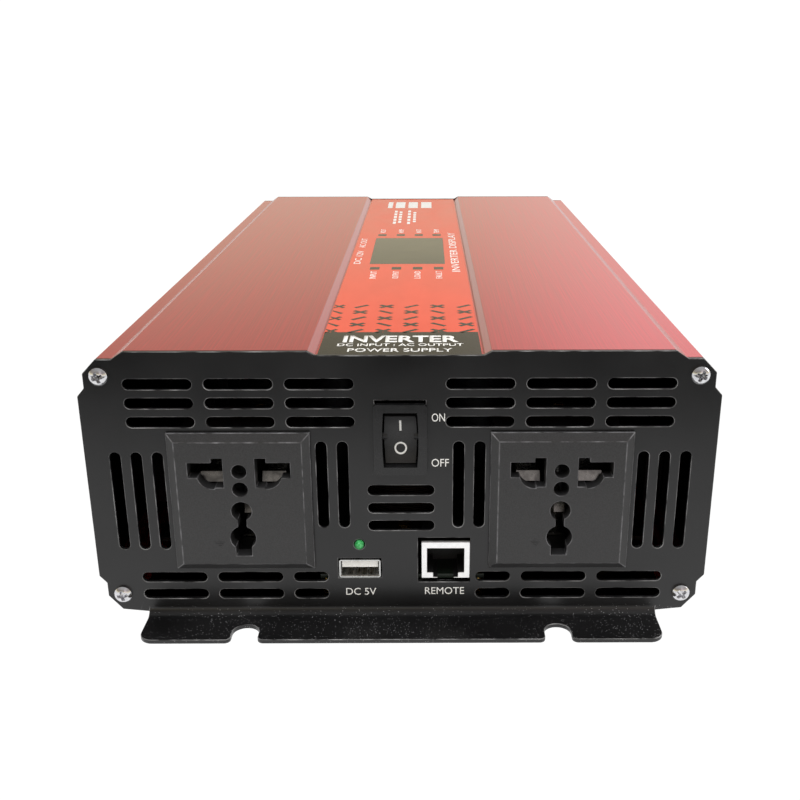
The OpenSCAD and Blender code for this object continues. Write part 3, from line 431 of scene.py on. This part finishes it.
def cross_head(radius, height, arm, arm_w):
    """A domed head round Z, crown up, with a tapered cross recess."""
    verts, faces = [], []
    rings, steps = 26, 96
    for i in range(rings + 1):
        r = radius * min(i / (rings - 2), 1.0)
        for k in range(steps):
            a = 2 * math.pi * k / steps
            x, y = r * math.cos(a), r * math.sin(a)
            t = r / radius
            if i < rings - 1:
                z = height * (1 - 0.62 * t ** 3.2)
            else:
                z = height * 0.30 if i == rings - 1 else 0.0
            ends = 0.34 * radius
            fall = 0.0
            for u, v in ((abs(x), abs(y)), (abs(y), abs(x))):
                side = 1 - min(max((v - arm_w * 0.62) / (arm_w * 0.55), 0), 1)
                tip = 1 - min(max((u - arm + ends) / ends, 0), 1)
                fall = max(fall, side * min(1.0, tip * 1.6))
            core = 1 - min(max((r - arm_w * 1.1) / (arm_w * 0.9), 0), 1)
            verts.append((x, y, z - height * 0.72 * max(fall, core)))
    for i in range(rings):
        for k in range(steps):
            j = (k + 1) % steps
            faces.append((i * steps + k, (i + 1) * steps + k, (i + 1) * steps + j, i * steps + j))
    return verts, faces


def threaded(radius, pitch, length, steps=24, per_turn=6):
    """A threaded rod from z = 0 to its length, with blunt crests and closed ends."""
    depth = 0.55 * pitch
    rows = int(length / pitch * per_turn)
    verts, faces = [], []
    for i in range(rows + 1):
        for k in range(steps):
            a = 2 * math.pi * k / steps
            turn = (i / per_turn - k / steps) % 1.0
            r = radius - depth * min(max(1.25 - abs(turn - 0.5) * 4.2, 0.0), 1.0)
            near = min(i, rows - i) / per_turn
            r = min(r, radius - depth * max(0.0, 1 - near))
            verts.append((r * math.cos(a), r * math.sin(a), length * i / rows))
    for i in range(rows):
        for k in range(steps):
            j = (k + 1) % steps
            faces.append((i * steps + k, i * steps + j, (i + 1) * steps + j, (i + 1) * steps + k))
    faces.append(tuple(reversed(range(steps))))
    faces.append(tuple(rows * steps + k for k in range(steps)))
    return verts, faces


def places(node):
    """The low and high corners of each of a node's separate solids, from its own mesh."""
    work = bmesh.new()
    work.from_mesh(cad[node].data)
    bmesh.ops.remove_doubles(work, verts=work.verts, dist=1e-7)
    reached, found = set(), []
    for start in work.verts:           # in the mesh's own order, so that every run agrees
        if start in reached:
            continue
        reached.add(start)
        todo, island = [start], []
        while todo:
            v = todo.pop()
            island.append(v.co.copy())
            for e in v.link_edges:
                w = e.other_vert(v)
                if w not in reached:
                    reached.add(w)
                    todo.append(w)
        low = Vector([min(c[i] for c in island) for i in range(3)])
        high = Vector([max(c[i] for c in island) for i in range(3)])
        found.append((low, high))
    work.free()
    return found


out_front = Matrix.Rotation(math.radians(90), 4, "X")     # crown to -Y
out_rear = Matrix.Rotation(math.radians(-90), 4, "X")     # crown to +Y
for node, turn, front in (("front_panel_screws", out_front, True), ("rear_panel_screws", out_rear, False)):
    parts = ([], [])
    for i, (low, high) in enumerate(places(node)):
        mid = (low + high) / 2
        seat = low.y + 2 * mm if front else high.y - 2 * mm
        spin = Matrix.Rotation(math.radians((8, 20, 40, 65)[i % 4]), 4, "Z")
        at = Matrix.Translation((mid.x, seat, mid.z)) @ turn @ spin
        set_down(parts, *cross_head(2.9 * mm, 2.0 * mm, 1.8 * mm, 0.44 * mm), at)
        set_down(parts, *threaded(1.5 * mm, 0.5 * mm, 12 * mm), at @ Matrix.Rotation(math.pi, 4, "X"))
    heads = show(node.replace("screws", "cross_screws"), *parts, plated)
    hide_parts(node)

# ------------------------------------------------------------------ printed overlay
# A polyester film let into the recess of the lid, printed red orange on its
# back, with black and white print, and a clear smoked window over the display.
# Gloss polyester: a hard clear skin over flat ink that mirrors the room at a
# low angle and so turns the black print olive grey.
film, tree, shader = new_finish("printed_polyester_film_red", "#DA4934", 0.24, 0.0,
                                Specular_Tint=to_linear("#FFF6D2"))
wave = mottle(tree, (9 * mm, 30 * mm, 9 * mm), 2.0)
tone(tree, shader, wave, "#D64530", "#DE4D37")
sheen(tree, shader, wave, 0.20, 0.30)
relief(tree, shader, wave, 0.02 * mm, 0.3)
dress("label_overlay", film, 0.1 * mm)

# Ink behind the same film: black, warm where it mirrors the room
ink, tree, shader = new_finish("black_ink_under_film", "#15150F", 0.25, 0.0,
                               Specular_Tint=to_linear("#FFF8D8"))
inked = mottle(tree, 6 * mm, 2.0)
sheen(tree, shader, inked, 0.20, 0.30)

# Screen print: opaque white, faintly uneven
white_ink, tree, shader = new_finish("white_screen_print", "#F4F4F0", 0.4)
inked = mottle(tree, 0.8 * mm, 3.0)
tone(tree, shader, inked, "#E4E4DF", "#FAFAF8")


ink_height = 0.04 * mm                 # printed words stand this far off their face


def slab(parts, outline, z0, z1, move):
    """Adds a flat piece of any outline, from z0 up to z1, moved by a matrix."""
    n = len(outline)
    verts = [(x, y, z0) for x, y in outline] + [(x, y, z1) for x, y in outline]
    faces = [tuple(reversed(range(n))), tuple(range(n, 2 * n))]
    faces += [(i, (i + 1) % n, n + (i + 1) % n, n + i) for i in range(n)]
    set_down(parts, verts, faces, move)


def rectangle(x0, y0, x1, y1):
    """The outline of an upright rectangle between two corners."""
    return [(x0, y0), (x1, y0), (x1, y1), (x0, y1)]


def lettering(name, words, x0, x1, y0, y1, at, bold=0.0, turn=0.0):
    """Words printed in white that fill a box on a flat face; `at` carries XY there."""
    text = bpy.data.curves.new(name + "_text", "FONT")
    text.body = words
    text.offset = bold
    text.resolution_u = 3
    probe = bpy.data.objects.new(name + "_text", text)
    bpy.context.scene.collection.objects.link(probe)
    bpy.context.view_layer.update()
    flat = bpy.data.meshes.new_from_object(probe)
    bpy.data.objects.remove(probe)
    spin = Matrix.Rotation(math.radians(turn), 4, "Z")
    points = [spin @ v.co for v in flat.vertices]
    low = [min(p[i] for p in points) for i in (0, 1)]
    high = [max(p[i] for p in points) for i in (0, 1)]
    work = bmesh.new()
    work.from_mesh(flat)
    bmesh.ops.remove_doubles(work, verts=work.verts, dist=1e-6)
    for v in work.verts:
        p = spin @ v.co
        v.co = (x0 + (p.x - low[0]) / (high[0] - low[0]) * (x1 - x0),
                y0 + (p.y - low[1]) / (high[1] - low[1]) * (y1 - y0), 0.0)
    bmesh.ops.dissolve_limit(work, angle_limit=0.02, verts=work.verts, edges=work.edges)
    made = bmesh.ops.extrude_face_region(work, geom=work.faces[:])
    for g in made["geom"]:
        if isinstance(g, bmesh.types.BMVert):
            g.co.z += ink_height
    bmesh.ops.recalc_face_normals(work, faces=work.faces)
    bmesh.ops.transform(work, matrix=at, verts=work.verts)
    work.to_mesh(flat)
    work.free()
    flat.name = name
    flat.materials.clear()
    flat.materials.append(white_ink)
    o = bpy.data.objects.new(name, flat)
    bpy.context.scene.collection.objects.link(o)
    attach(o, "case")


film_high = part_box("label_overlay")[1]
film_half = film_high.x
print_edge = film_half - 0.15 * mm     # the print stops just short of the film's cut edge
black_height = 0.02 * mm               # the black print lies over the red, white words over the black
lid = Matrix.Translation((0.0, face_y, film_high.z))      # XY on the film, Y from the front panel


def bar(parts, x, y, run_x, run_y, thick, z0, z1, at):
    """A straight stroke between two corners of a box centred on x, y, clipped to the film."""
    length = math.hypot(run_x, run_y)
    nx, ny = -run_y / length * thick / 2, run_x / length * thick / 2
    a, b = (x - run_x / 2, y - run_y / 2), (x + run_x / 2, y + run_y / 2)
    outline = [(a[0] - nx, a[1] - ny), (b[0] - nx, b[1] - ny),
               (b[0] + nx, b[1] + ny), (a[0] + nx, a[1] + ny)]
    outline = [(min(max(px, -print_edge), print_edge), py) for px, py in outline]
    slab(parts, outline, z0, z1, at)


parts = ([], [])
strip_end = 27.5 * mm
strip = rectangle(-print_edge, sheet + 0.2 * mm, print_edge, strip_end)
slab(parts, strip, 0, black_height, lid)
# rows of crosses and single slashes that lean to and fro
reach_x, reach_y, stroke = 4.6 * mm, 4.0 * mm, 1.6 * mm
for row, y in enumerate((62.8, 54.4, 45.7, 37.2, 29.0)):
    for col, x in enumerate((-24.0, -15.3, -6.2, 2.9, 12.3, 21.9)):
        lean = -1 if row % 2 else 1
        bar(parts, x * mm, y * mm, lean * reach_x, reach_y, stroke, 0, black_height, lid)
        if (row + col) % 2 == 0:
            bar(parts, x * mm, y * mm, -lean * reach_x, reach_y, stroke, 0, 0.021 * mm, lid)
# a row of four black blocks at each end of the window
columns = (-13.8, -4.5, 4.6, 13.6)
for y in (130.3, 212.0):
    for x in columns:
        block = rectangle((x - 2.05) * mm, (y - 2.6) * mm, (x + 2.05) * mm, (y + 2.6) * mm)
        slab(parts, block, 0, black_height, lid)
strip = show("overlay_black_print", *parts, ink, smooth=False)

over = Matrix.Translation((0.0, face_y, film_high.z + black_height))
for name, words, half, y0, y1, bold in (("title", "INVERTER", 18.6, 15.2, 23.0, 0.03),
                                        ("line_two", "DC INPUT : AC OUTPUT", 20, 10.9, 13.8, 0.01),
                                        ("line_three", "POWER SUPPLY", 16.4, 4.6, 8.4, 0.01)):
    lettering(f"overlay_{name}", words, -half * mm, half * mm, y0 * mm, y1 * mm, over, bold=bold)
for end, words, y0, y1 in (("front", ("INPUT", "OUTPUT", "LOAD", "FAULT"), 110, 124),
                           ("rear", ("VOLT", "AMP", "WATT", "TEMP"), 218, 229)):
    for i, (word, x) in enumerate(zip(words, columns)):
        lettering(f"overlay_{end}_word_{i}", word, (x - 1.3) * mm, (x + 1.3) * mm, y0 * mm, y1 * mm, lid,
                  turn=90)
for name, words, x0, x1, y0, y1 in (("left_word_a", "DC 12V", -23.6, -20.6, 140, 170),
                                    ("left_word_b", "AC OUT", -23.6, -20.6, 178, 202),
                                    ("right_words", "INVERTER DISPLAY", 19.2, 22.7, 123, 218)):
    lettering(f"overlay_{name}", words, x0 * mm, x1 * mm, y0 * mm, y1 * mm, lid, turn=90)

# plain white bars near the rear: four broad ones, and four broken into five dashes
bar_height = 0.03 * mm
parts = ([], [])
for x0, x1 in ((-14.4, -11.6), (-9.8, -4.2), (-2.2, 3.4), (5.4, 11.6)):
    slab(parts, rectangle(x0 * mm, 304 * mm, x1 * mm, 328 * mm), 0, bar_height, lid)
for x, y0, y1 in ((-8.9, 247, 296), (-6.1, 250, 293), (-1.2, 246, 297), (1.9, 252, 290)):
    step = (y1 - y0) / 5
    for k in range(5):
        dash = rectangle((x - 0.8) * mm, (y0 + k * step) * mm,
                         (x + 0.8) * mm, (y0 + k * step + step * 0.72) * mm)
        slab(parts, dash, 0, bar_height, lid)
bars = show("overlay_plain_bars", *parts, white_ink, smooth=False)

# ------------------------------------------------------------------ display
# A liquid crystal cell in a tin-plated frame, on its own board, held up under
# the lid by four brass posts; the film's smoked window lies over it.
# Smoked polyester: nearly black, glossy.
smoke, tree, shader = new_finish("smoked_polyester_window", "#1A1B14", 0.18, 0.0,
                                 Specular_Tint=to_linear("#FFF8D8"))
haze = mottle(tree, 14 * mm, 2.0)
tone(tree, shader, haze, "#14150F", "#20211A")
sheen(tree, shader, haze, 0.14, 0.22)
dress("display_window", smoke, 0.1 * mm)


def grid(tree, offset, width, height, joint, first, second, between):
    """A grid of cells in two colours with joints in a third; its sizes are in millimetres."""
    return add_node(tree, "ShaderNodeTexBrick", {"offset": offset},
                    {"Vector": stretched(tree, (1 / mm,) * 3), "Scale": 1.0,
                     "Brick Width": width, "Row Height": height, "Mortar Size": joint,
                     "Color1": to_linear(first), "Color2": to_linear(second),
                     "Mortar": to_linear(between)})


# Liquid crystal cell: grey green glass over a fine square dot grid
cell, tree, shader = new_finish("liquid_crystal_cell", "#5F6A58", 0.12)
dots = grid(tree, 0.0, 0.55, 0.55, 0.05, "#5F6A58", "#66725F", "#4C5648")
tree.links.new(dots.outputs["Color"], shader.inputs["Base Color"])
dress("display_glass", cell, 0.15 * mm)

# Tin-plated sheet: pale and satin, with rolling lines
tin, tree, shader = new_finish("tin_plated_sheet", "#C9C9C6", 0.28, 1.0)
roll = mottle(tree, (0.6 * mm, 6 * mm, 0.6 * mm), 3.0)
sheen(tree, shader, roll, 0.2, 0.36)
tone(tree, shader, roll, "#B9B9B7", "#DADAD8")
dress("display_frame", tin, 0.15 * mm)

# Solder mask: nearly black green, with the glass weave just showing through
mask, tree, shader = new_finish("dark_solder_mask", "#0C120D", 0.45)
weave = grid(tree, 0.5, 3.1, 1.3, 0.16, "#0B110C", "#0E150F", "#151F17")
tree.links.new(weave.outputs["Color"], shader.inputs["Base Color"])
relief(tree, shader, weave.outputs["Fac"], 0.03 * mm, 0.6)
for board in ("display_board", "io_board", "main_board"):
    dress(board, mask, 0.1 * mm)

# Turned brass: warm yellow with fine tool rings
brass, tree, shader = new_finish("turned_brass", "#C9A35A", 0.26, 1.0)
rings = mottle(tree, (3 * mm, 0.25 * mm, 0.25 * mm), 2.0)
sheen(tree, shader, rings, 0.18, 0.36)
tone(tree, shader, rings, "#B98F48", "#D8B46C")
for posts in ("display_posts", "board_posts", "ground_screw"):
    dress(posts, brass, 0.12 * mm)

# ------------------------------------------------------------------ sockets
# Two universal outlet modules: a moulded faceplate with a chamfered rim, a deep
# housing snapped behind the panel, and folded spring contacts in its chambers.
# Spark-eroded ABS: dark grey, a fine pebbled grain with a dull sheen.
pebble, tree, shader = new_finish("spark_eroded_black_abs", "#2A2A2B", 0.46)
grit = mottle(tree, 0.42 * mm, 3.0, 0.65)
tone(tree, shader, grit, "#232324", "#333334")
sheen(tree, shader, grit, 0.36, 0.58)
relief(tree, shader, grit, 0.05 * mm, 0.7)

# Painted highlight on ABS: the rims of the faceplates painted paler in patches, where they catch the light
painted_rim_highlight, tree, shader = new_finish("painted_highlight_on_abs_rims", "#4E4E50", 0.3)
rim_highlight_patches = mottle(tree, 3 * mm, 3.0)
tone(tree, shader, rim_highlight_patches, "#2A2A2B", "#77777A", 0.35, 0.75)
# the rims of both faceplates take the painted highlight as their second finish
for side in ("left", "right"):
    dress(f"{side}_socket_faceplate", pebble, 0.22 * mm, 3, rim=painted_rim_highlight)

# Glass filled nylon: flat black, slightly mottled by its fibres
nylon, tree, shader = new_finish("black_glass_filled_nylon", "#161617", 0.5)
fibre = mottle(tree, 0.9 * mm, 4.0)
tone(tree, shader, fibre, "#101011", "#1D1D1E")
sheen(tree, shader, fibre, 0.42, 0.6)
for side in ("left", "right"):
    dress(f"{side}_socket_housing", nylon, 0.2 * mm)
    dress(f"{side}_fan_frame", nylon, 0.25 * mm)
    dress(f"{side}_fan_impeller", nylon, 0.15 * mm)
dress("network_jack_insert", nylon, 0.08 * mm)

# Tinned spring bronze: grey and a little tarnished
bronze, tree, shader = new_finish("tinned_spring_bronze", "#8E8E8D", 0.30, 1.0)
tarnish = mottle(tree, 2 * mm, 3.0)
tone(tree, shader, tarnish, "#6E6E6D", "#A2A2A0")
sheen(tree, shader, tarnish, 0.16, 0.34)
for contact in ("live_contacts", "neutral_contacts", "earth_contacts", "switch_terminals"):
    dress(contact, bronze, 0.12 * mm)

# a small earth sign raised on each faceplate, left of the round earth opening:
# three lines that grow shorter downwards and a short stem above them
line_half, sign_low, sign_high = 0.15 * mm, -0.02 * mm, 0.12 * mm
parts = ([], [])
for side in ("left", "right"):
    low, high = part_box(f"{side}_socket_faceplate")
    at = Matrix.Translation(((low.x + high.x) / 2 - 7.7 * mm, low.y,
                             (low.z + high.z) / 2 - 13.4 * mm)) @ out_front
    for k, half in enumerate((1.5, 0.95, 0.4)):
        y = -k * 0.62 * mm
        slab(parts, rectangle(-half * mm, y - line_half, half * mm, y + line_half), sign_low, sign_high, at)
    slab(parts, rectangle(-line_half, 0.1 * mm, line_half, 1.3 * mm), sign_low, sign_high, at)
sign = show("socket_earth_signs", *parts, pebble, smooth=False)

# ------------------------------------------------------------------ rocker switch
# A snap-in rocker: glossy bezel and body, a two-slope rocker on its own
# trunnions, and a rocking bar that closes on the fixed contact inside.
# Polished nylon: black and glossy, with slight sink marks.
gloss, tree, shader = new_finish("polished_black_nylon", "#141415", 0.24)
sink = mottle(tree, 4 * mm, 2.0)
tone(tree, shader, sink, "#101011", "#1A1A1B")
sheen(tree, shader, sink, 0.2, 0.32)
relief(tree, shader, sink, 0.03 * mm, 0.4)
dress("switch_housing", gloss, 0.35 * mm, 3)

# Satin nylon: the moulded rocker, with a fine matt skin
satin, tree, shader = new_finish("satin_black_nylon", "#202021", 0.45)
skin = mottle(tree, 0.35 * mm, 3.0)
tone(tree, shader, skin, "#19191A", "#2A2A2B")
sheen(tree, shader, skin, 0.38, 0.55)
relief(tree, shader, skin, 0.03 * mm, 0.6)
dress("switch_rocker", satin, 0.4 * mm, 3)
dress("switch_contact_bar", brass, 0.1 * mm)

# XY stands up on the front panel, X to the right and Y up
front = Matrix.Translation((0.0, face_y, 0.0)) @ out_front
lettering("switch_on_word", "ON", 9.85 * mm, 14.0 * mm, 70.1 * mm, 72.8 * mm, front)
lettering("switch_off_word", "OFF", 9.8 * mm, 15.3 * mm, 54.8 * mm, 57.5 * mm, front)

# the bar and ring are printed on the hollow face of the rocker, which is part of
# a cylinder round X and leans back at rest
hollow_radius = 16.25 * mm
hollow_offset = 17.25 * mm
pivot = Vector((0.0, face_y + 3.4 * mm, 64.4 * mm))
tilt = Matrix.Translation(pivot) @ Matrix.Rotation(math.radians(9.0), 4, "X")


def on_rocker(x, z, out):
    """A point of the rocker's hollow face in its own axes, moved out of it a little."""
    reach = math.sqrt(hollow_radius ** 2 - z * z)
    return tilt @ Vector((x, reach - hollow_offset - out, z))


def rocker_print(name, inner, outer):
    """A closed band between two outlines of equal length, laid on the hollow face."""
    n = len(inner)
    verts = [on_rocker(x, z, out)
             for out in (-0.02 * mm, 0.05 * mm) for ring in (inner, outer) for x, z in ring]
    faces = []
    for k in range(n):
        j = (k + 1) % n
        faces += [(k, j, n + j, n + k), (2 * n + k, 3 * n + k, 3 * n + j, 2 * n + j),
                  (k, 2 * n + k, 2 * n + j, j), (n + k, n + j, 3 * n + j, 3 * n + k)]
    mark = show(name, verts, faces, white_ink, body="rocker", smooth=False)


turns = [2 * math.pi * k / 48 for k in range(48)]
ring_z = -3.95 * mm
inner, outer = ([(r * math.cos(t), ring_z + r * math.sin(t)) for t in turns]
                for r in (1.45 * mm, 2.0 * mm))
rocker_print("rocker_ring_mark", inner, outer)
bar_z, bar_half = 4.4 * mm, 2.2 * mm
stops = [bar_z + (k / 12 - 1) * bar_half for k in range(25)]
inner, outer = ([(-x, z) for z in stops] + [(x, z) for z in reversed(stops)]
                for x in (0.01 * mm, 0.32 * mm))
rocker_print("rocker_bar_mark", inner, outer)

# ------------------------------------------------------------------ ports and lamp
# A charging port, a screened network jack and a lamp, all soldered to one board
# behind the panel and reaching out through their own cut-outs.
for part in ("usb_shell", "led_legs"):
    dress(part, tin, 0.12 * mm, 2)
# Bright tinned screen of the network jack: near white at its mouth, and painted
# dark grey behind the panel, a painted shade
screen, tree, shader = new_finish("bright_tinned_screen", "#F2F2F2", 0.3, 0.75)
roll = mottle(tree, 1.2 * mm, 3.0)
jack_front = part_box("network_jack_shield")[0].y
# painted shade: the screen is painted dark grey behind its front
painted_shade_behind_panel = maths(tree, "GREATER_THAN", position(tree)["Y"], jack_front + 1.2 * mm)
bright = ramp(tree, roll, "#F2F2F2", "#FFFFFF")
tree.links.new(blend(tree, painted_shade_behind_panel, bright, to_linear("#3C3C3B")), shader.inputs["Base Color"])
sheen(tree, shader, roll, 0.24, 0.38)
dress("network_jack_shield", screen, 0.15 * mm, 2)

# White nylon: the tongue of the charging port
white_nylon, tree, shader = new_finish("white_nylon", "#FAFAF7", 0.4)
milk = mottle(tree, 2.5 * mm, 2.0)
tone(tree, shader, milk, "#F4F4F0", "#FFFFFD")
dress("usb_tongue", white_nylon, 0.1 * mm)

# Gold flash on the port contacts, dull in the shade of their openings
gold, tree, shader = new_finish("gold_flash_in_shade", "#8A744A", 0.35, 1.0)
flash = mottle(tree, 0.8 * mm, 2.0)
sheen(tree, shader, flash, 0.16, 0.3)
for part in ("usb_contacts", "network_jack_contacts"):
    dress(part, gold, 0.05 * mm)

# Tinted epoxy: a green lens that lets some light through
lens_green, tree, shader = new_finish("green_tinted_epoxy", "#3FBE63", 0.18, 0.0, Transmission_Weight=0.25)
depth_noise = mottle(tree, 0.9 * mm, 1.0)
tone(tree, shader, depth_noise, "#2FA452", "#67D988")
dress("led_lens", lens_green, 0.0)

lettering("charging_port_words", "DC 5V", -18.6 * mm, -8.6 * mm, 8.6 * mm, 11.2 * mm, front)
lettering("network_port_words", "REMOTE", 7.6 * mm, 20.6 * mm, 8.8 * mm, 11.4 * mm, front)

# ------------------------------------------------------------------ fans
# Two 60 mm axial fans behind the rear panel. Frames and impellers are black
# nylon, the coils sit inside the hubs, and wire guards cover the openings.
# Wound copper under dark tape: brown, with the turns showing as ridges
copper, tree, shader = new_finish("enamelled_copper_under_tape", "#2A1A10", 0.5, 0.3)
wind = add_node(tree, "ShaderNodeTexWave", {"wave_type": "BANDS", "bands_direction": "Z"},
                {"Vector": stretched(tree, (1 / mm,) * 3), "Scale": 0.32, "Distortion": 0.6, "Detail": 1.0})
tone(tree, shader, wind.outputs["Fac"], "#1C120B", "#35231A", 0.0, 1.0)
relief(tree, shader, wind.outputs["Fac"], 0.3 * mm, 0.8)
for part in ("fan_stators", "transformer_windings", "output_choke"):
    dress(part, copper, 0.4 * mm)
dress("fan_guards", plated, 0.0)
for part in ("fan_screws", "fan_nuts", "positive_terminal_washer", "negative_terminal_washer"):
    dress(part, plated, 0.1 * mm)

# ------------------------------------------------------------------ battery terminals
# Brass M8 studs through red and black nylon bushes, each with a washer and nut
# outside and a nut, insulating pad and copper strap inside.
# Bush nylon: red or black, with slight sink marks.
for name, colours in (("positive", ("#A80F0F", "#C41C1A")), ("negative", ("#101011", "#1C1C1D"))):
    bush, tree, shader = new_finish(f"{name}_bush_nylon", colours[0], 0.3)
    sink = mottle(tree, 5 * mm, 2.0)
    tone(tree, shader, sink, colours[0], colours[1])
    sheen(tree, shader, sink, 0.24, 0.38)
    dress(f"{name}_terminal_bush", bush, 0.4 * mm, 3)
    dress(f"{name}_terminal_nut", brass, 0.3 * mm)
dress("terminal_pads", nylon, 0.3 * mm)
dress("inner_terminal_nuts", brass, 0.3 * mm)

# rolled M8 threads over the whole length of both studs
parts = ([], [])
for low, high in places("battery_studs"):
    at = Matrix.Translation(((low.x + high.x) / 2, low.y, (low.z + high.z) / 2)) @ out_rear
    set_down(parts, *threaded((high.x - low.x) / 2, 1.25 * mm, high.y - low.y, steps=36, per_turn=8), at)
rods = show("threaded_battery_studs", *parts, brass)
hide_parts("battery_studs")

# Rolled bare copper: orange, with rolling lines
strap, tree, shader = new_finish("rolled_bare_copper", "#C4764A", 0.3, 1.0)
roll = mottle(tree, (0.5 * mm, 12 * mm, 12 * mm), 3.0)
tone(tree, shader, roll, "#AD6238", "#D6895C")
sheen(tree, shader, roll, 0.22, 0.4)
dress("battery_straps", strap, 0.3 * mm)

# ------------------------------------------------------------------ power parts
# Ferrite cores, wound parts, capacitors, transistors on aluminium bars and the
# output leads, all on the main board inside the case.
# Sintered ferrite: matt charcoal with fine pores
ferrite, tree, shader = new_finish("sintered_ferrite", "#1C1C1D", 0.6)
pores = mottle(tree, 0.6 * mm, 4.0)
tone(tree, shader, pores, "#141415", "#242425")
relief(tree, shader, pores, 0.05 * mm, 0.6)
dress("transformer_cores", ferrite, 0.5 * mm)

# Shrink sleeve: nearly black blue and slightly glossy
sleeve, tree, shader = new_finish("capacitor_shrink_sleeve", "#0E1020", 0.4)
shrink = mottle(tree, 6 * mm, 2.0)
tone(tree, shader, shrink, "#0B0D1A", "#131626")
dress("capacitors", sleeve, 0.9 * mm, 4)

# Black anodised bars with long die lines
bare, tree, shader = new_finish("black_anodised_aluminium_bar", "#2C2C2D", 0.4, 1.0)
die = mottle(tree, (0.5 * mm, 50 * mm, 0.5 * mm), 3.0)
tone(tree, shader, die, "#232324", "#363637")
sheen(tree, shader, die, 0.28, 0.44)
dress("heatsink_bars", bare, 0.3 * mm)
dress("power_transistors", nylon, 0.25 * mm)

# Soft wire insulation: dark brown
wire, tree, shader = new_finish("pvc_wire_insulation", "#1E1612", 0.45)
ink_on = mottle(tree, 3 * mm, 2.0)
tone(tree, shader, ink_on, "#18110D", "#261C16")
dress("output_leads", wire, 0.0)

low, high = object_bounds()
